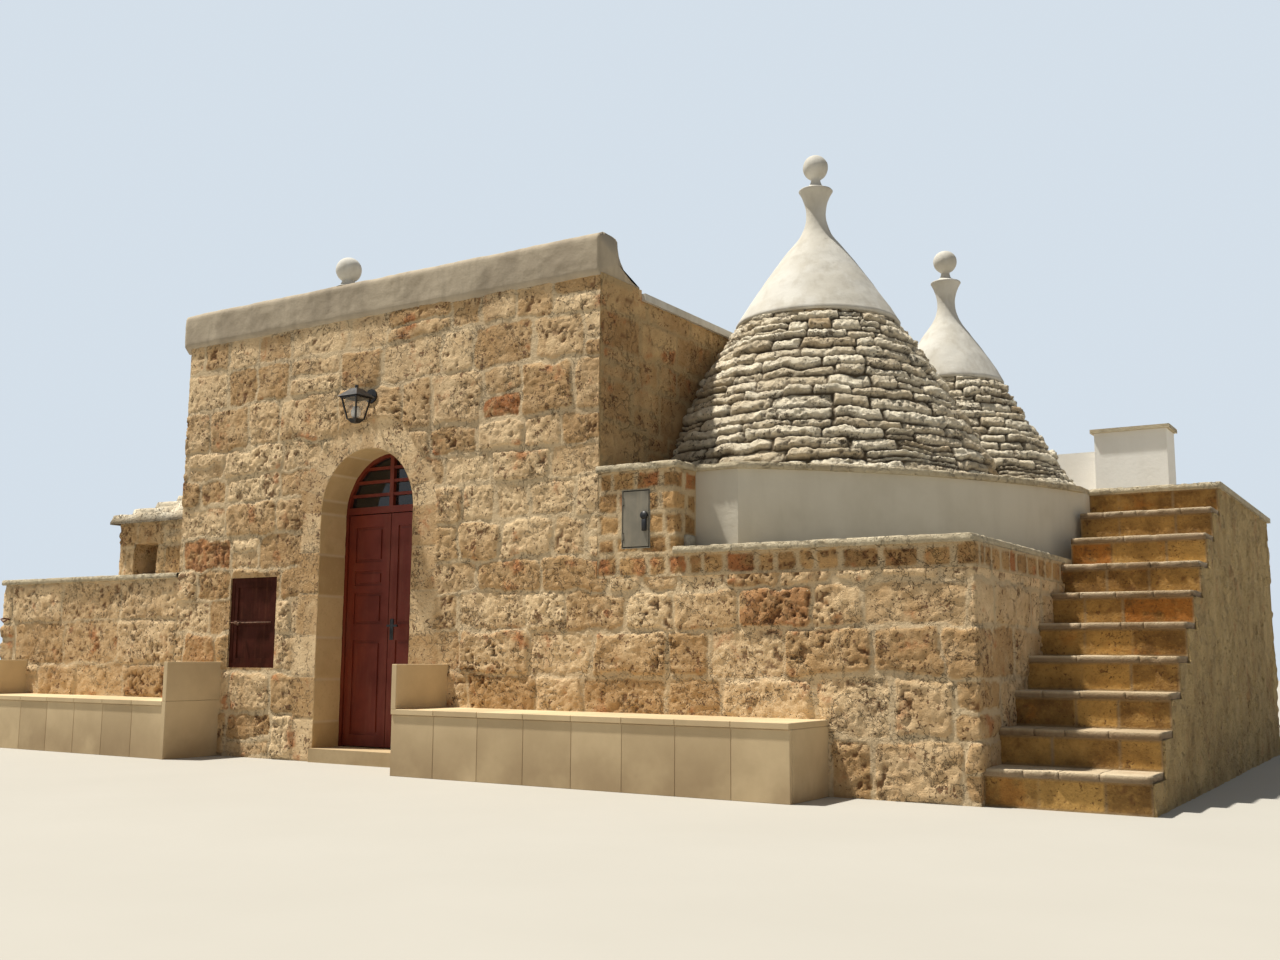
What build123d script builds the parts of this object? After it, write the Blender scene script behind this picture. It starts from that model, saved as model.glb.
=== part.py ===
"""Trullo house: an arched front block with two corbelled stone cones beside it.

Millimetres. X runs to the right along the front, Y to the back, Z up. The origin is the
middle of the doorway, in the plane of the front wall, at ground level.
"""

import os
from math import cos, hypot, pi, sin, sqrt

from build123d import *

# how far a cutting body runs past what it cuts
cut = 10

# front block
block_half_width = 2400
block_depth = 3600
wall_thickness = 600
front_wall_height = 3870
side_wall_height = 3780
vault_spring_height = 2850
vault_rise = 480
roof_edge_height = 3640
roof_camber = 60

# parapet, caps and finial of the front block
parapet_height = 330
parapet_overhang = 30
parapet_top_width = 230
parapet_left_overhang = 80
cove_reach = 340
cove_sag = 60
coping_overhang = 35
wall_cap_thickness = 60
finial_x = -420
finial_ball_radius = 115
finial_neck_radius = 55
finial_foot_radius = 72
finial_neck_height = 55

# doorway
door_half_width = 540
arch_spring_height = 2140
reveal_depth = 300
rebate_step = 60
surround_width = 300
threshold_height = 116
threshold_nose = 45

# door frame and fanlight
frame_depth = 70
frame_bar = 95
transom_height = 2150
transom_bar = 60
grille_bar = 26
grille_bar_count = 3
grille_bar_pitch = 118
grille_inset = 5
mullion_width = 44
glass_thickness = 6

# door leaves
door_gap = 8
leaf_thickness = 45
leaf_setback = 10
stile_width = 84
bottom_rail = 98
lower_panel = 815
lock_rail = 141
square_panel = 272
narrow_rail = 65
small_panel = 130
upper_rail = 76
top_rail = 109
panel_recess = 10
panel_border = 26

# hinges of the door
hinge_heights = (420, 1150, 1880)
barrel_radius = 8
barrel_length = 90
barrel_bite = 4
barrel_inset = 6
pin_radius = 4
lug_thickness = 6
hinge_play = 0.3
swing_room = 5

# lever handle
handle_height = 1130
handle_plate_width = 40
handle_plate_height = 180
handle_plate_thickness = 6
handle_rise = 30
handle_stem_radius = 9
handle_stem_length = 40
lever_length = 110
lever_height = 18
lever_thickness = 14

# hatch beside the door
hatch_left = -1670
hatch_width = 610
hatch_sill = 790
hatch_height = 810
hatch_frame = 42
hatch_frame_depth = 55
hatch_setback = 12
hatch_leaf_setback = 4
hatch_leaf_thickness = 30
hatch_stile = 45
hatch_middle_rail = 50
hatch_recess = 8

# lantern over the door
lantern_x = 20
lantern_height = 3090
lantern_reach = 190
lantern_cap_width = 230
lantern_cap_tip = 70
lantern_cap_height = 75
lantern_rim_width = 190
lantern_rim_height = 14
lantern_top_width = 180
lantern_foot_width = 110
lantern_foot_tip = 50
lantern_foot_height = 34
lantern_body_height = 190
lantern_knob_radius = 16
lantern_knob_height = 30
lantern_post = 12
lantern_glass_inset = 8
bracket_plate_radius = 62
bracket_plate_thickness = 18
bracket_arm_radius = 12
bracket_arm_rise = 40

# benches
bench_depth = 585
bench_height = 500
seat_thickness = 40
seat_overhang = 15
bench_arm_height = 840
bench_arm_thickness = 50
left_bench_start = -4780
left_bench_end = -1730
right_bench_start = 910
right_bench_end = 4265

# garden wall and the small store on the left
garden_wall_end = -5200
garden_wall_thickness = 300
garden_wall_height = 1625
coping_thickness = 45
store_left = -3800
store_front = 350
store_depth = 1400
store_wall = 250
store_height = 2250
store_window_left = -3560
store_window_width = 370
store_window_sill = 1700
store_window_height = 320
slab_course_count = 6
slab_course_height = 72
slab_course_step = 185
slab_course_side_step = 115
slab_overhang = 85

# terrace, pier and roof deck on the right
terrace_height = 1650
pier_width = 675
pier_depth = 520
deck_height = 2330
deck_thickness = 160
deck_back = 6300
terrace_wall = 400
coping_width = 300

# stairs
stair_left = 5280
stair_width = 1000
stair_start = 60
riser_count = 10
tread_going = 345
tread_thickness = 45
tread_nose = 22

# meter cupboard in the pier
meter_left = 2620
meter_width = 250
meter_drop = 145
meter_height = 440
meter_depth = 120
meter_wall = 6
meter_proud = 12
meter_gap = 8
meter_leaf_thickness = 5
meter_hinge_offsets = (90, 350)
meter_barrel_radius = 4
meter_barrel_length = 40
meter_barrel_bite = 2
meter_pin_radius = 1.5
meter_lug_thickness = 3
meter_web = 9
meter_lock_width = 22
meter_lock_height = 85
meter_lock_thickness = 15
meter_lock_inset = 22
meter_lock_rise = 130

# curved white wall round the cones
drum_radius = 5275
drum_thickness = 380
drum_flat_front = 290
drum_bend_start = 3440
drum_bend_end = 3004

# cones
cone_wall = 350
cone_lift_count = 6
cone_1_from_stairs = 2080
cone_1_before_back = 1330
cone_1_foot_radius = 1560
cone_1_hem_radius = 668
cone_1_hem_height = 3840
cone_1_bulge = 30
cone_1_tip_height = 4620
cone_2_from_stairs = 1600
cone_2_behind_first = 2080
cone_2_foot_radius = 1320
cone_2_hem_radius = 480
cone_2_hem_height = 3640
cone_2_bulge = -10
cone_2_tip_height = 4220
cap_tip_radius = 175
cap_bulge = 18
cap_lift_count = 3
turned_side_count = 32
hem_drop = 35
hem_thickness = 24

# pinnacles
waist_rise = 250
waist_radius = 88
flare_rise = 220
rim_radius = 152
shoulder_rise = 45
shoulder_radius = 62
neck_rise = 110
neck_radius = 42
pinnacle_ball_radius = 116
foot_hollow = 14
flare_hollow = 16
vase_lift_count = 3
ball_lift_count = 10

# parapet at the back of the roof deck
back_parapet_height = 830
back_parapet_thickness = 220
back_pier_start = 4730
back_pier_end = 5450
back_pier_height = 990
back_pier_thickness = 420
back_pier_coping = 40

# places that follow from the sizes above
riser = deck_height / riser_count
stair_end = stair_start + (riser_count - 1) * tread_going
stair_right = stair_left + stair_width
deck_top = deck_height - coping_thickness
deck_underside = deck_top - deck_thickness
inner_half_width = block_half_width - wall_thickness
back_wall_start = block_depth - wall_thickness
rebate_half_width = door_half_width + rebate_step
surround_half_width = door_half_width + surround_width
pier_right = block_half_width + pier_width
store_back = store_front + store_depth
parapet_top = front_wall_height + parapet_height
meter_top = deck_top - meter_drop
meter_sill = meter_top - meter_height

# the cones' axes, kept clear of the stairs and of the block's back
cone_1_x = stair_left - cone_1_from_stairs
cone_2_x = stair_left - cone_2_from_stairs
cone_1_y = block_depth - cone_1_before_back
cone_2_y = cone_1_y + cone_2_behind_first

# the curved wall's centre, from the two ends of its bend
bend_x, bend_y = stair_left - drum_bend_start, drum_bend_end - drum_flat_front
bend_chord = hypot(bend_x, bend_y)
bend_rise = sqrt(drum_radius**2 - (bend_chord / 2) ** 2) / bend_chord
drum_x = (drum_bend_start + stair_left) / 2 - bend_rise * bend_y
drum_y = (drum_flat_front + drum_bend_end) / 2 + bend_rise * bend_x


def block(x0, x1, y0, y1, z0, z1):
    """A box between two corners."""
    corner = (Align.MIN, Align.MIN, Align.MIN)
    return Pos(x0, y0, z0) * Box(x1 - x0, y1 - y0, z1 - z0, align=corner)


def post(x, y, radius, z0, z1):
    """An upright cylinder between two heights."""
    base = (Align.CENTER, Align.CENTER, Align.MIN)
    return Pos(x, y, z0) * Cylinder(radius, z1 - z0, align=base)


def spike(x, y, z, radius, length):
    """A level cylinder that runs from a point towards the front."""
    base = (Align.CENTER, Align.CENTER, Align.MIN)
    return Pos(x, y, z) * Rot(90, 0, 0) * Cylinder(radius, length, align=base)


def along_x(profile, x0, x1):
    """A closed (y, z) outline pushed along X."""
    return Pos(x0, 0, 0) * extrude(Plane.YZ * profile, x1 - x0)


def along_y(profile, y0, y1):
    """A closed (x, z) outline pushed along Y."""
    return Pos(0, y1, 0) * extrude(Plane.XZ * profile, y1 - y0)


def turned(outline, x, y):
    """A closed (radius, z) outline turned round an upright axis in flat sides."""
    turns = [2 * pi * n / turned_side_count for n in range(turned_side_count)]
    rings = [[(x + r * cos(a), y + r * sin(a), z) for a in turns] for r, z in outline]
    faces = []
    for (r0, _), (r1, _), low, high in zip(
        outline, outline[1:] + outline[:1], rings, rings[1:] + rings[:1], strict=True
    ):
        for n in range(turned_side_count):
            m = (n + 1) % turned_side_count
            corners = [low[n], low[m]] if r0 else [low[n]]
            corners += [high[m], high[n]] if r1 else [high[n]]
            if len(corners) > 2:
                faces.append(Face(Wire.make_polygon(corners)))
    return Solid(Shell(faces))


def arched_face(half_width, foot):
    """The outline of the doorway: two uprights under a half circle."""
    left, right = (-half_width, arch_spring_height), (half_width, arch_spring_height)
    crown = (0, arch_spring_height + half_width)
    path = [
        Line((-half_width, foot), (half_width, foot)),
        Line((half_width, foot), right),
        ThreePointArc(right, crown, left),
        Line(left, (-half_width, foot)),
    ]
    return make_face(path)


def solids_of(shape):
    """The shape's solids, as one solid where there is only one."""
    found = shape.clean().solids()
    return found[0] if len(found) == 1 else Compound(found)


def bowed(start, end, bulge, lifts):
    """The points of a line that swells outwards between two points, in straight lifts."""
    points = [start]
    for n in range(1, lifts + 1):
        t = n / lifts
        swell = 4 * bulge * t * (1 - t)
        points.append((start[0] + (end[0] - start[0]) * t + swell, start[1] + (end[1] - start[1]) * t))
    return points


def tapered(z0, width_0, z1, width_1):
    """A long prism along Y that widens or narrows evenly between two heights."""
    reach = max(width_0, width_1)
    sides = [(-width_0 / 2, z0), (width_0 / 2, z0), (width_1 / 2, z1), (-width_1 / 2, z1)]
    return along_y(make_face(Polyline(*sides, close=True)), -reach, reach)


def frustum(*taper):
    """A square, upright block that widens or narrows evenly between two heights."""
    return tapered(*taper) & Rot(0, 0, 90) * tapered(*taper)


parts = {}


# doorway

def doorway_void():
    """The way through the front wall: a narrow outer reveal and a wider inner rebate."""
    outer = along_y(arched_face(door_half_width, -cut), -cut, reveal_depth)
    inner = along_y(arched_face(rebate_half_width, -cut), reveal_depth, wall_thickness + cut)
    return outer + inner


def door_stones():
    """Dressed jambs and a half-round arch, with a step under the door."""
    void = doorway_void()
    side = block(-surround_half_width, surround_half_width, 0, wall_thickness, 0, arch_spring_height)
    parts["door_jambs"] = solids_of(side - void)
    ring = along_y(arched_face(surround_half_width, 0), 0, wall_thickness)
    ring &= block(
        -surround_half_width, surround_half_width, 0, wall_thickness, arch_spring_height, front_wall_height
    )
    parts["door_arch"] = solids_of(ring - void)
    step = block(-door_half_width, door_half_width, -threshold_nose, reveal_depth, 0, threshold_height)
    step += block(-rebate_half_width, rebate_half_width, reveal_depth, wall_thickness, 0, threshold_height)
    parts["door_threshold"] = solids_of(step)


# walls and roof of the front block

def front_wall():
    left = block(-block_half_width, -surround_half_width, 0, wall_thickness, 0, front_wall_height)
    left -= block(
        hatch_left, hatch_left + hatch_width, -cut, wall_thickness + cut, hatch_sill, hatch_sill + hatch_height
    )
    parts["front_wall_left"] = solids_of(left)
    parts["front_wall_right"] = block(
        surround_half_width, block_half_width, 0, wall_thickness, 0, front_wall_height
    )
    head = block(
        -surround_half_width, surround_half_width, 0, wall_thickness, arch_spring_height, front_wall_height
    )
    head -= along_y(arched_face(surround_half_width, 0), -cut, wall_thickness + cut)
    parts["front_wall_over_door"] = solids_of(head)


def other_walls():
    for name, x0 in (("left_wall", -block_half_width), ("right_wall", inner_half_width)):
        parts[name] = block(x0, x0 + wall_thickness, wall_thickness, block_depth, 0, side_wall_height)
    parts["back_wall"] = block(
        -inner_half_width, inner_half_width, back_wall_start, block_depth, 0, side_wall_height
    )


def vaulted_roof():
    """A barrel vault under a slightly crowned roof surface."""
    half = inner_half_width
    crown = vault_spring_height + vault_rise
    top = roof_edge_height + roof_camber
    path = [
        Line((-half, roof_edge_height), (-half, vault_spring_height)),
        ThreePointArc((-half, vault_spring_height), (0, crown), (half, vault_spring_height)),
        Line((half, vault_spring_height), (half, roof_edge_height)),
        ThreePointArc((half, roof_edge_height), (0, top), (-half, roof_edge_height)),
    ]
    parts["roof_vault"] = along_y(make_face(path), wall_thickness, back_wall_start)


def front_parapet():
    """Flat on top, with a concave sweep down to the roof behind."""
    foot = (parapet_top_width + cove_reach, front_wall_height)
    shelf = (parapet_top_width, parapet_top)
    middle = ((foot[0] + shelf[0]) / 2 - cove_sag, (foot[1] + shelf[1]) / 2 - cove_sag)
    path = [
        Line((-parapet_overhang, front_wall_height), (-parapet_overhang, parapet_top)),
        Line((-parapet_overhang, parapet_top), shelf),
        ThreePointArc(shelf, middle, foot),
        Line(foot, (-parapet_overhang, front_wall_height)),
    ]
    start = -block_half_width - parapet_left_overhang
    parts["front_parapet"] = along_x(make_face(path), start, block_half_width)


def wall_caps():
    """One white plaster cap that runs round the two sides and the back."""
    low, high = side_wall_height, side_wall_height + wall_cap_thickness
    reach = block_half_width + coping_overhang
    cap = block(-reach, reach, wall_thickness, block_depth + coping_overhang, low, high)
    cap -= block(
        -inner_half_width, inner_half_width, wall_thickness - cut, back_wall_start, low - cut, high + cut
    )
    parts["wall_cap"] = solids_of(cap)


# door frame, fanlight and leaves

frame_front = reveal_depth
frame_back = frame_front + frame_depth
frame_inner = rebate_half_width - frame_bar
leaf_front = frame_front + leaf_setback
leaf_back = leaf_front + leaf_thickness
leaf_foot = threshold_height + door_gap
leaf_head = transom_height - door_gap
leaf_edge = frame_inner - door_gap
leaf_meeting = door_gap / 2
hinge_x = leaf_edge - barrel_inset
hinge_y = leaf_back + barrel_radius - barrel_bite
fanlight_foot = transom_height + transom_bar


def hinge_pin(side, height):
    """A pin held at both ends by a lug on the frame."""
    reach = barrel_length / 2 + lug_thickness
    pin = post(side * hinge_x, hinge_y, pin_radius, height - reach, height + reach)
    x0, x1 = sorted((side * hinge_x, side * frame_inner))
    y0, y1 = hinge_y - pin_radius, hinge_y + pin_radius
    pin += block(x0, x1, y0, y1, height - reach, height - reach + lug_thickness)
    pin += block(x0, x1, y0, y1, height + reach - lug_thickness, height + reach)
    return pin


def door_frame():
    outer = along_y(arched_face(rebate_half_width, threshold_height), frame_front, frame_back)
    inner = along_y(arched_face(frame_inner, threshold_height - cut), frame_front - cut, frame_back + cut)
    frame = outer - inner
    frame += block(-frame_inner, frame_inner, frame_front, frame_back, transom_height, fanlight_foot)
    for height in hinge_heights:
        frame += hinge_pin(-1, height) + hinge_pin(1, height)
    parts["door_frame"] = solids_of(frame)


def fanlight():
    """The half-round light over the door: an upright bar, level bars and glass behind."""
    light = along_y(arched_face(frame_inner, 0), frame_front, frame_back)
    light &= block(-frame_inner, frame_inner, frame_front, frame_back, fanlight_foot, front_wall_height)
    glass_front = frame_front + frame_depth / 2
    half = mullion_width / 2
    bars = block(-half, half, frame_front, glass_front, fanlight_foot, front_wall_height)
    for n in range(1, grille_bar_count + 1):
        top = fanlight_foot + n * grille_bar_pitch
        bars += block(
            -frame_inner, frame_inner, frame_front + grille_inset, glass_front, top - grille_bar, top
        )
    parts["fanlight_bars"] = solids_of(bars & light)
    glass = block(
        -frame_inner, frame_inner, glass_front, glass_front + glass_thickness, fanlight_foot, front_wall_height
    )
    parts["fanlight_glass"] = solids_of(glass & light)


def panel_spans(side):
    """Foot and head of each sunk panel of a leaf. Only the left leaf's upper half is in three."""
    foot = leaf_foot + bottom_rail
    spans = [(foot, foot + lower_panel)]
    foot += lower_panel + lock_rail
    head = leaf_head - top_rail
    if side > 0:
        return spans + [(foot, head)]
    for height, rail in ((square_panel, narrow_rail), (small_panel, upper_rail)):
        spans.append((foot, foot + height))
        foot += height + rail
    return spans + [(foot, head)]


def hinge_barrel(side, height):
    """The leaf's half of a hinge: what is cut from the leaf, and the barrel that is added."""
    room = barrel_length / 2 + lug_thickness + swing_room
    near = hinge_x - pin_radius - swing_room
    x0, x1 = sorted((side * near, side * (leaf_edge + cut)))
    notch = block(x0, x1, hinge_y - pin_radius - swing_room, leaf_back + cut, height - room, height + room)
    half = barrel_length / 2 - hinge_play
    barrel = post(side * hinge_x, hinge_y, barrel_radius, height - half, height + half)
    x0, x1 = sorted((side * (near - swing_room), side * hinge_x))
    barrel += block(x0, x1, leaf_back - barrel_radius, hinge_y, height - half, height + half)
    barrel -= post(side * hinge_x, hinge_y, pin_radius + hinge_play, height - room, height + room)
    return notch, barrel


def door_leaf(side):
    """A leaf with sunk borders round raised panels, and the barrels of its hinges."""
    x0, x1 = sorted((side * leaf_meeting, side * leaf_edge))
    leaf = block(x0, x1, leaf_front, leaf_back, leaf_foot, leaf_head)
    p0, p1 = x0 + stile_width, x1 - stile_width
    floor = leaf_front + panel_recess
    for z0, z1 in panel_spans(side):
        sunk = block(p0, p1, leaf_front - cut, floor, z0, z1)
        b = panel_border
        leaf -= sunk - block(p0 + b, p1 - b, leaf_front - cut, floor, z0 + b, z1 - b)
    for height in hinge_heights:
        notch, barrel = hinge_barrel(side, height)
        leaf = leaf - notch + barrel
    return solids_of(leaf)


def door_handle():
    """A lever on a long plate, on the right leaf."""
    x = leaf_meeting + stile_width / 2
    plate_front = leaf_front - handle_plate_thickness
    half_width, half_height = handle_plate_width / 2, handle_plate_height / 2
    handle = block(
        x - half_width,
        x + half_width,
        plate_front,
        leaf_front,
        handle_height - half_height,
        handle_height + half_height,
    )
    z = handle_height + handle_rise
    handle += spike(x, plate_front, z, handle_stem_radius, handle_stem_length)
    lever_front = plate_front - handle_stem_length
    handle += block(
        x - handle_stem_radius,
        x + lever_length,
        lever_front - lever_thickness,
        lever_front,
        z - lever_height / 2,
        z + lever_height / 2,
    )
    parts["door_handle"] = solids_of(handle)


# hatch

def hatch():
    x0, x1 = hatch_left, hatch_left + hatch_width
    z0, z1 = hatch_sill, hatch_sill + hatch_height
    y0, bar = hatch_setback, hatch_frame
    frame = block(x0, x1, y0, y0 + hatch_frame_depth, z0, z1)
    frame -= block(x0 + bar, x1 - bar, y0 - cut, y0 + hatch_frame_depth + cut, z0 + bar, z1 - bar)
    parts["hatch_frame"] = solids_of(frame)
    front = y0 + hatch_leaf_setback
    leaf = block(x0 + bar, x1 - bar, front, front + hatch_leaf_thickness, z0 + bar, z1 - bar)
    edge = bar + hatch_stile
    middle, half_rail = (z0 + z1) / 2, hatch_middle_rail / 2
    for low, high in ((z0 + edge, middle - half_rail), (middle + half_rail, z1 - edge)):
        leaf -= block(x0 + edge, x1 - edge, front - cut, front + hatch_recess, low, high)
    parts["hatch_leaf"] = solids_of(leaf)


# lantern

def lantern():
    """A tapered four-sided lantern under a pyramid cap, on an arm from a round wall plate."""
    rim_z = lantern_height - lantern_rim_height
    foot_z = lantern_height - lantern_body_height
    cap_z = lantern_height + lantern_cap_height
    body = frustum(lantern_height, lantern_cap_width, cap_z, lantern_cap_tip)
    body += post(0, 0, lantern_knob_radius, cap_z, cap_z + lantern_knob_height)
    half_rim = lantern_rim_width / 2
    body += block(-half_rim, half_rim, -half_rim, half_rim, rim_z, lantern_height)
    body += frustum(foot_z - lantern_foot_height, lantern_foot_tip, foot_z, lantern_foot_width)
    cage = frustum(foot_z, lantern_foot_width, rim_z, lantern_top_width)
    light = tapered(
        foot_z, lantern_foot_width - 2 * lantern_post, rim_z, lantern_top_width - 2 * lantern_post
    )
    body += cage - light - Rot(0, 0, 90) * light
    arm_z = lantern_height + bracket_arm_rise
    plate = spike(lantern_x, 0, arm_z, bracket_plate_radius, bracket_plate_thickness)
    arm = spike(lantern_x, 0, arm_z, bracket_arm_radius, lantern_reach)
    place = Pos(lantern_x, -lantern_reach, 0)
    parts["lantern_body"] = solids_of(place * body + plate + arm)
    inset = 2 * lantern_post + lantern_glass_inset
    parts["lantern_glass"] = place * frustum(
        foot_z, lantern_foot_width - inset, rim_z, lantern_top_width - inset
    )


# benches

def benches():
    """Masonry benches with a thin seat slab. Each end has an upright slab, but for the far right."""
    under_seat = bench_height - seat_thickness
    seat_front = -bench_depth - seat_overhang
    left_span = (left_bench_start + bench_arm_thickness, left_bench_end - bench_arm_thickness)
    right_span = (right_bench_start + bench_arm_thickness, right_bench_end)
    bodies, seats, arms = [], [], []
    for x0, x1 in (left_span, right_span):
        bodies.append(block(x0, x1, -bench_depth, 0, 0, under_seat))
        seats.append(block(x0, x1, seat_front, 0, under_seat, bench_height))
    for x in (left_bench_start, left_span[1], right_bench_start):
        arms.append(block(x, x + bench_arm_thickness, seat_front, 0, 0, bench_arm_height))
    parts["bench_bodies"] = Compound(bodies)
    parts["bench_seats"] = Compound(seats)
    parts["bench_arms"] = Compound(arms)


# garden wall and store

def garden_wall():
    parts["garden_wall"] = block(
        garden_wall_end, -block_half_width, 0, garden_wall_thickness, 0, garden_wall_height
    )
    over = coping_overhang
    return block(
        garden_wall_end - over,
        -block_half_width,
        -over,
        garden_wall_thickness + over,
        garden_wall_height,
        garden_wall_height + coping_thickness,
    )


def store():
    """A small stone store against the block, with a window and a roof of stepped slabs."""
    walls = block(store_left, -block_half_width, store_front, store_back, 0, store_height)
    walls -= block(
        store_left + store_wall,
        -block_half_width + cut,
        store_front + store_wall,
        store_back - store_wall,
        -cut,
        store_height + cut,
    )
    walls -= block(
        store_window_left,
        store_window_left + store_window_width,
        store_front - cut,
        store_front + store_wall + cut,
        store_window_sill,
        store_window_sill + store_window_height,
    )
    parts["store_walls"] = solids_of(walls)
    roof = None
    for n in range(slab_course_count):
        course = block(
            store_left - slab_overhang + n * slab_course_step,
            -block_half_width,
            store_front - slab_overhang + n * slab_course_side_step,
            store_back + slab_overhang - n * slab_course_side_step,
            store_height + n * slab_course_height,
            store_height + (n + 1) * slab_course_height,
        )
        roof = course if roof is None else roof + course
    parts["store_roof"] = solids_of(roof)


# curved wall, terrace and roof deck

def drum_area(inset, z0, z1):
    """What lies inside the curved wall's line, from the pier to the head of the stairs."""
    area = post(drum_x, drum_y, drum_radius - inset, z0, z1)
    return area & block(block_half_width, stair_left, drum_flat_front + inset, stair_end, z0, z1)


def pier_room(z1):
    """The ground that the meter pier takes."""
    return block(block_half_width - cut, pier_right, -cut, pier_depth, -cut, z1 + cut)


def meter_pier():
    body = block(block_half_width, pier_right, 0, pier_depth, 0, deck_top)
    recess = meter_depth - meter_proud
    body -= block(
        meter_left, meter_left + meter_width, -cut, recess, meter_sill, meter_sill + meter_height
    )
    parts["meter_pier"] = solids_of(body)


def curved_wall():
    wall = drum_area(0, 0, deck_top) - drum_area(drum_thickness, 0, deck_top)
    wall -= pier_room(deck_top)
    parts["curved_wall"] = max(wall.clean().solids(), key=lambda piece: piece.volume)


def roof_deck():
    """The slab between the walls, on which the two cones stand."""
    slab = drum_area(drum_thickness, deck_underside, deck_top)
    slab += block(
        block_half_width,
        stair_right - terrace_wall,
        stair_end,
        deck_back - terrace_wall,
        deck_underside,
        deck_top,
    )
    slab -= block(
        block_half_width, block_half_width + terrace_wall, block_depth, deck_back, 0, deck_height
    )
    parts["roof_deck"] = solids_of(slab - pier_room(deck_top))


def deck_walls():
    """Stone walls under the side and back edges of the deck."""
    side_start = stair_right - terrace_wall
    back_start = deck_back - terrace_wall
    parts["deck_right_wall"] = block(side_start, stair_right, stair_end, deck_back, 0, deck_top)
    parts["deck_back_wall"] = block(block_half_width, side_start, back_start, deck_back, 0, deck_top)
    parts["deck_left_wall"] = block(
        block_half_width, block_half_width + terrace_wall, block_depth, back_start, 0, deck_top
    )


def deck_coping():
    """One rim of slabs over the pier, the curved wall, the stair head and the right side."""
    over = coping_overhang
    rim = drum_area(-over, deck_top, deck_height) - drum_area(coping_width, deck_top, deck_height)
    rim += block(block_half_width, pier_right + over, -over, pier_depth, deck_top, deck_height)
    rim += block(
        stair_left - coping_width,
        stair_right + over,
        stair_end - tread_nose,
        stair_end + coping_width,
        deck_top,
        deck_height,
    )
    corner = deck_back + over
    rim += block(stair_right - coping_width, stair_right + over, stair_end, corner, deck_top, deck_height)
    rim += block(back_pier_end, stair_right, deck_back - coping_width, corner, deck_top, deck_height)
    parts["deck_coping"] = max(rim.clean().solids(), key=lambda piece: piece.volume)


def front_terrace():
    """The low terrace before the curved wall, filled to its top."""
    mass = block(pier_right, stair_left, 0, stair_end, 0, terrace_height)
    mass -= drum_area(0, 0, deck_height)
    mass -= pier_room(deck_top)
    parts["front_terrace"] = max(mass.clean().solids(), key=lambda piece: piece.volume)
    top = terrace_height + coping_thickness
    coping = block(pier_right, stair_left, -coping_overhang, coping_width, terrace_height, top)
    coping += block(stair_left - coping_width, stair_left, 0, stair_end, terrace_height, top)
    coping -= drum_area(0, 0, deck_height)
    return max(coping.clean().solids(), key=lambda piece: piece.volume)


# stairs

def stairs():
    """Masonry steps, each with a thin tread slab that oversails the riser."""
    steps = [(stair_start, 0)]
    treads = []
    for n in range(1, riser_count):
        y0 = stair_start + (n - 1) * tread_going
        y1 = y0 + tread_going
        under = n * riser - tread_thickness
        steps += [(y0, under), (y1, under)]
        treads.append(block(stair_left, stair_right, y0 - tread_nose, y1, under, n * riser))
    steps.append((stair_end, 0))
    parts["stair_core"] = along_x(make_face(Polyline(*steps, close=True)), stair_left, stair_right)
    parts["stair_treads"] = Compound(treads)


# cones

def cone_shell(x, y, foot_radius, hem_radius, hem_height, bulge, wall):
    """A corbelled stone cone with bowed sides, hollow for a wall, solid for none."""
    outside = bowed((foot_radius, deck_top), (hem_radius, hem_height), bulge, cone_lift_count)
    if not wall:
        return turned([*outside, (0, hem_height), (0, deck_top)], x, y)
    return turned(outside + [(radius - wall, height) for radius, height in reversed(outside)], x, y)


def plaster_cap(x, y, foot_radius, hem_radius, hem_height, tip_height):
    """The white cap, with a hem that laps over the top course of stones."""
    lean = (foot_radius - hem_radius) / (hem_height - deck_top)
    under = hem_radius + hem_thickness / 2
    flare = under + lean * hem_drop
    low = hem_height - hem_drop
    outside = bowed((flare + hem_thickness, low), (cap_tip_radius, tip_height), cap_bulge, cap_lift_count)
    return turned([*outside, (0, tip_height), (0, hem_height), (under, hem_height), (flare, low)], x, y)


def ball_on_neck(x, y, outline, neck_radius, neck_top, ball_radius):
    """A turned foot with a round ball set on its neck."""
    foot = turned([*outline, (neck_radius, neck_top), (0, neck_top)], x, y)
    centre = neck_top + sqrt(ball_radius**2 - neck_radius**2)
    rings = []
    for n in range(ball_lift_count + 1):
        turn = pi * n / ball_lift_count
        rings.append((ball_radius * sin(turn) if 0 < n < ball_lift_count else 0, centre - ball_radius * cos(turn)))
    return solids_of(foot + turned(rings, x, y))


def pinnacle(x, y, foot):
    """A waisted vase with a sharp rim, a thin neck and a ball on top."""
    waist = foot + waist_rise
    rim = waist + flare_rise
    hollow = bowed((cap_tip_radius, foot), (waist_radius, waist), -foot_hollow, vase_lift_count)
    flare = bowed((waist_radius, waist), (rim_radius, rim), -flare_hollow, vase_lift_count)
    outline = [(0, foot), *hollow, *flare[1:], (shoulder_radius, rim + shoulder_rise)]
    return ball_on_neck(x, y, outline, neck_radius, rim + neck_rise, pinnacle_ball_radius)


def parapet_ball():
    """A plastered ball on a short neck."""
    outline = [(0, parapet_top), (finial_foot_radius, parapet_top)]
    y = (parapet_top_width - parapet_overhang) / 2
    neck_top = parapet_top + finial_neck_height
    return ball_on_neck(finial_x, y, outline, finial_neck_radius, neck_top, finial_ball_radius)


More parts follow.
